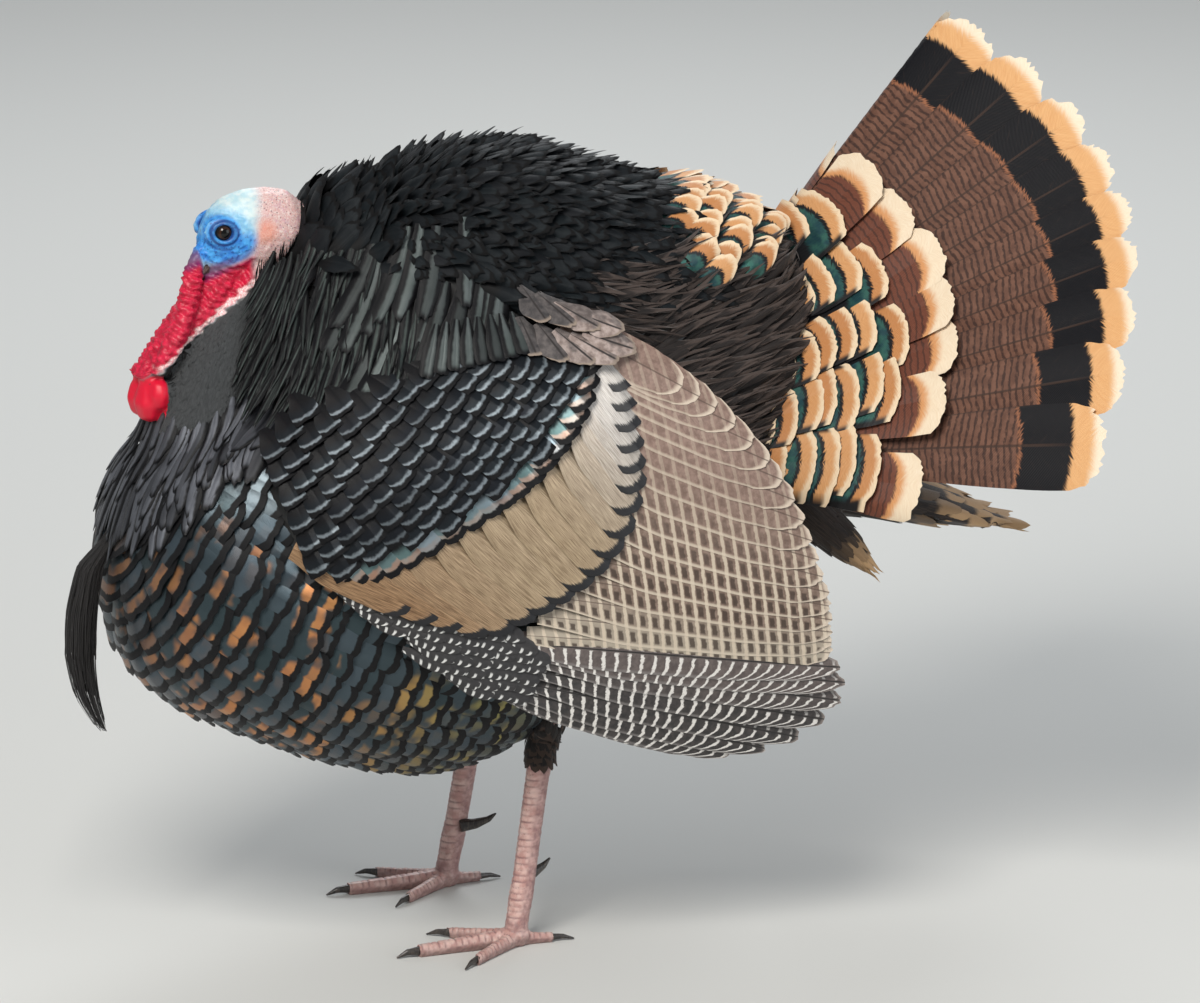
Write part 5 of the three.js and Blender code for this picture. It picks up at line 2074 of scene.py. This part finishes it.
# %% Rump and back
def lay_back():
    """Rows with buff tips that stand up where the back meets the fan."""
    a, b, at = upper_roots(23 * MM, 15 * MM, 40, 140)
    x, _, z = at.T
    keep = (x > 120) & (z > 520) & (x < 262)
    a, b = a[keep], b[keep]
    count = len(a)
    return lay_feathers(
        upper_dome, a, b, (1, 0, 0.75), length=46 * MM * vary(0.9, 1.1, count), width=10.5 * MM,
        columns=10, rows=12, quill=0.5, tip=0.2, tip_power=2.6, comb=0.02, base=-6 * MM,
        lift=20 + vary(-4, 4, count), camber=0.2, roll=vary(-0.15, 0.15, count),
        zone=0.0, patch=(0.005, 0.006), waver=0.01,
    )


def lay_rump():
    a, b, at = upper_roots(11 * MM, 7 * MM, 30, 158)
    x, _, z = at.T
    keep = (x > 10) & (z > 380) & (z < 560) & (x < 262)
    keep &= (x > 84) | (z > 508)
    a, b, x = a[keep], b[keep], x[keep]
    count = len(a)
    flow = arrows(1, 0, 0.85 * soft_step(x, 20, 110) - 0.25 + chance.normal(0, 0.14, count))
    return lay_feathers(
        upper_dome, a, b, flow, length=58 * MM * vary(0.8, 1.2, count),
        width=3.4 * MM * vary(0.8, 1.2, count), columns=4, rows=8, tip=0.5, tip_power=1.4,
        tip_narrow=0.45, fullest=0.4, comb=0.12, base=-7 * MM, lift=9 + vary(-3, 6, count),
        camber=0.35, roll=vary(-0.3, 0.3, count), zone=1.0, waver=0.03, twist=0.3,
    )


def lay_stern():
    """Soft feathers that hang behind, between the fan and the bundle under it."""
    a, b, at = upper_roots(13 * MM, 11 * MM, 92, 177)
    out = at - np.array(FAN["centre"])
    along = out @ fan.axis
    wide = np.linalg.norm(out - along[:, None] * fan.axis, axis=1)
    turn = np.abs(np.arctan2(out @ fan.side, out @ fan.up))
    cone = (wide - FAN["arc"]) / np.tan(fan_half_angle(turn))
    behind = (along - cone > 9) | (turn > FAN["sweep"] + 0.1)
    faces_back = steps_on(upper_dome, a, b)[2][:, 0] > 0.2
    keep = behind & (at[:, 0] > 178) & (at[:, 2] > 225) & faces_back
    a, b = a[keep], b[keep]
    count = len(a)
    flow = arrows(0, chance.normal(0, 0.15, count), -1)
    return lay_feathers(
        upper_dome, a, b, flow, length=52 * MM * vary(0.85, 1.15, count), width=8.0 * MM,
        columns=6, rows=8, tip=0.4, tip_power=1.6, tip_narrow=0.3, fullest=0.4, comb=0.08, base=-7 * MM,
        lift=9 + vary(-3, 5, count), camber=0.3, roll=vary(-0.3, 0.3, count), zone=1.0,
        waver=0.02, twist=0.2,
    )


print("rump and stern are laid round", [round(v, 3) for v in upper_dome.centre])

# %% Lay rump, back and stern
rump_finish = soft_finish(
    "rump_plume", (0.006, 0.005, 0.005), (0.034, 0.025, 0.022), (0.06, 0.044, 0.038), 0.02,
)
plumage("back_feathers", lay_back(), covert_finish("back_feather", 0.013), "tail_covert_plumage")
plumage("rump_plumes", lay_rump(), rump_finish, "body_plumage")
plumage("stern_feathers", lay_stern(), rump_finish, "body_plumage")

# %% [markdown]
# ## Under the tail, flanks, thighs and neck
#
# Dark feathers with chestnut tips close the gap below the fan. The thighs are covered by soft
# short feathers down to the bare shank, and the neck between the red throat and the ruff has
# very small feathers that lie like felt.
# %% Lay the dark soft feathers
under_finish = soft_finish(
    "under_tail_feather", (0.014, 0.011, 0.01), (0.05, 0.034, 0.026), (0.46, 0.29, 0.15), 0.022,
)
under_rays = rays_of(["undertail_coverts"], 4)
under_column = Column(under_rays, place(226, 0, 358), place(432, 0, 295))
plume_column = Column(under_rays, place(208, -79, 373), place(298, -109, 285))


def lay_under(column, row_step, spacing, length, width, last_share, tip_share):
    a, b = column_roots(column, 0.002, column.length * last_share, row_step, spacing)
    count = len(a)
    far_down = a / column.length
    return lay_feathers(
        column, a, b, column.axis, length=length * MM * vary(0.9, 1.1, count), width=width * MM,
        columns=8, rows=12, tip=0.25, tip_power=2.2, tip_narrow=0.2, comb=0.04, base=-3 * MM,
        lift=3 + vary(-1, 1.5, count), camber=0.2, roll=vary(-0.1, 0.1, count),
        zone=soft_step(far_down, tip_share - 0.15, tip_share + 0.1), patch=(0.006, 0.009), waver=0.01,
    )


under_batch = lay_under(under_column, 16 * MM, 19 * MM, 64, 16, 0.84, 0.45)
plume_batch = lay_under(plume_column, 14 * MM, 12 * MM, 44, 9, 0.75, 0.55)
plumage("under_tail_feathers", under_batch, under_finish, "tail_covert_plumage", "undertail_coverts")
both_sides("flank_plume", plume_batch, under_finish, "body_plumage")

thigh_finish = soft_finish(
    "thigh_feather", (0.01, 0.009, 0.009), (0.03, 0.024, 0.022), (0.055, 0.036, 0.028), 0.005,
)
thigh_rays = rays_of(["thigh_left", "shank_left"], 2.5)
thigh_column = Column(thigh_rays, place(22, -80, 250), place(23, -78, 148), outside=0.09)
a, b = column_roots(thigh_column, 0.0, thigh_column.length * 0.9, 5.5 * MM, 6.0 * MM)
over_shank = soft_step(a / thigh_column.length, 0.35, 0.7)
thigh_batch = lay_feathers(
    thigh_column, a, b, thigh_column.axis, length=20 * MM, width=4.4 * MM, columns=4, rows=6, tip=0.35,
    tip_power=1.8, comb=0.08, base=(-2.5 + 4.5 * over_shank) * MM, lift=8 + vary(-3, 3, len(a)),
    camber=0.25, zone=1.0,
)
both_sides("thigh_feathers", thigh_batch, thigh_finish, "body_plumage")


# %% Felt of the neck
neck_finish = soft_finish(
    "neck_feather", (0.03, 0.032, 0.034), (0.075, 0.08, 0.083), (0.06, 0.06, 0.06), 0.002, 0.7,
)
skin_rays = BVHTree.FromPolygons(
    [vert.co for vert in skin_mesh.vertices], [list(face.vertices) for face in skin_mesh.polygons]
)
neck_column = Column(skin_rays, place(-174, 0, 566), place(-236, 0, 404), 90, 73)


def lay_neck():
    a, b = column_roots(neck_column, 0.0, neck_column.length * 0.96, 3.6 * MM, 3.4 * MM)
    x, y, z = measured(neck_column.point(a, b)).T
    keep = (throat_line(x, z) > 3.5) | (z < 440)
    keep &= (bulb_skin(x, y, z) < 0.3) & (x < -150) & (z > 418) & (np.abs(y) < 66)
    keep &= z < 545 - 0.9 * (x + 195) * (x > -195)
    a, b = a[keep], b[keep]
    count = len(a)
    return lay_feathers(
        neck_column, a, b, neck_column.axis, length=9 * MM * vary(0.8, 1.2, count),
        width=1.9 * MM, columns=2, rows=4, tip=0.5, tip_power=1.5, tip_narrow=0.3, comb=0.1,
        base=0.1 * MM, lift=5 + vary(-2, 3, count), camber=0.2, zone=0.0,
    )


print("neck column is", round(neck_column.length, 3), "m long")

# %% Bristles of the nape
nape_column = Column(skin_rays, place(-170, 0, 606), place(-196, 0, 500), 60, 73)


def lay_nape():
    """Black hair-like feathers, thin on the pale nape and close together at the ruff."""
    a, b = column_roots(nape_column, 0.0, 0.062, 3.2 * MM, 3.0 * MM, 0.4)
    x, y, z = measured(nape_column.point(a, b)).T
    share = soft_step(568 + 0.65 * (x + 187) - z, -3, 14)
    keep = (vary(0, 1, len(a)) < share) & (np.abs(y) > 5)
    keep &= (x > -190) & (x < -140) & (z < 594) & (z > 550)
    a, b, share = a[keep], b[keep], share[keep]
    count = len(a)
    return lay_feathers(
        nape_column, a, b, (-0.05, 0, -1), length=(14 + 22 * share) * MM * vary(0.6, 1.3, count),
        width=0.85 * MM, columns=2, rows=6, tip=0.6, tip_power=1.2, tip_narrow=0.6, comb=0.1,
        base=0.2 * MM, lift=4 + vary(-2, 5, count), camber=0.3, zone=0.0, waver=0.05,
    )


plumage("nape_bristles", lay_nape(), mantle_finish, "bristle")
plumage("neck_feathers", lay_neck(), neck_finish, "body_plumage")

# %% [markdown]
# ## Beard
#
# The beard is a tuft of stiff black bristles, each a single hair-like feather, that hangs from
# the middle of the breast. Over three hundred narrow strips run down one bent line at many
# depths round it, so the bundle has a body and its end is ragged.
# %% Beard bristles
def beard_line(levels=24, reach=5 * MM):
    """The middle and the radius of the packed beard at levels from its top to its end."""
    form = remeshed(joined_copy(["beard"]), 2.0 * MM)
    at = np.array([vert.co for vert in form.verts])
    form.free()
    low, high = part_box("beard")
    heights = np.linspace(high.z - 2 * MM, low.z + 2 * MM, levels)
    slices = [at[np.abs(at[:, 2] - z) < reach] for z in heights]
    middles = np.array([part.mean(axis=0) for part in slices])
    spread = [(part - middle)[:, :2] for part, middle in zip(slices, middles)]
    return middles, np.array([np.linalg.norm(flat, axis=1).mean() for flat in spread])


def lay_beard(count=330):
    middles, radii = beard_line()
    across, along, faces = feather_grid(2, 20)
    u, v = across[None, :], along[None, :]
    turn = vary(0, 2 * math.pi, (count, 1))
    depth = np.sqrt(vary(0.05, 1, (count, 1)))
    end = vary(0.55, 1.0, (count, 1)) ** 0.6
    start = vary(0.0, 0.1, (count, 1))
    share = start + (end - start) * v
    marks = np.linspace(0, 1, len(radii))
    x, y, z = (np.interp(share, marks, middles[:, k]) for k in range(3))
    under_bib = soft_step(z, HOME.z + 318 * MM, HOME.z + 352 * MM)
    out = depth * np.interp(share, marks, radii) * (0.9 + 0.1 * v) * (1 - 0.45 * under_bib)
    turn = turn + 0.25 * np.sin(vary(0, 6.28, (count, 1)) + 3 * v)
    fine = (0.75 - 0.45 * v) * MM * u
    facing = turn + chance.normal(0, 0.5, (count, 1))
    x = x + out * np.cos(turn) - fine * np.sin(facing) + 14 * MM * under_bib
    y = y + out * np.sin(turn) + fine * np.cos(facing)
    bake = np.stack([(turn[:, :1] % 6.28) / 6.6 + 0.004 * (u + 1) / 2, 0.02 + 0.94 * share], axis=-1)
    return as_batch(
        arrows(x, y, z), faces, bake, across=u, along=v, from_tip=(1 - v) * 0.2,
        pick=vary(0, 1, (count, 1)), zone=0,
    )


beard_finish = soft_finish(
    "beard_bristle", (0.008, 0.008, 0.009), (0.03, 0.027, 0.026), (0.05, 0.03, 0.02), 0.01, 0.45,
)
plumage("beard_bristles", lay_beard(), beard_finish, "bristle", "beard")
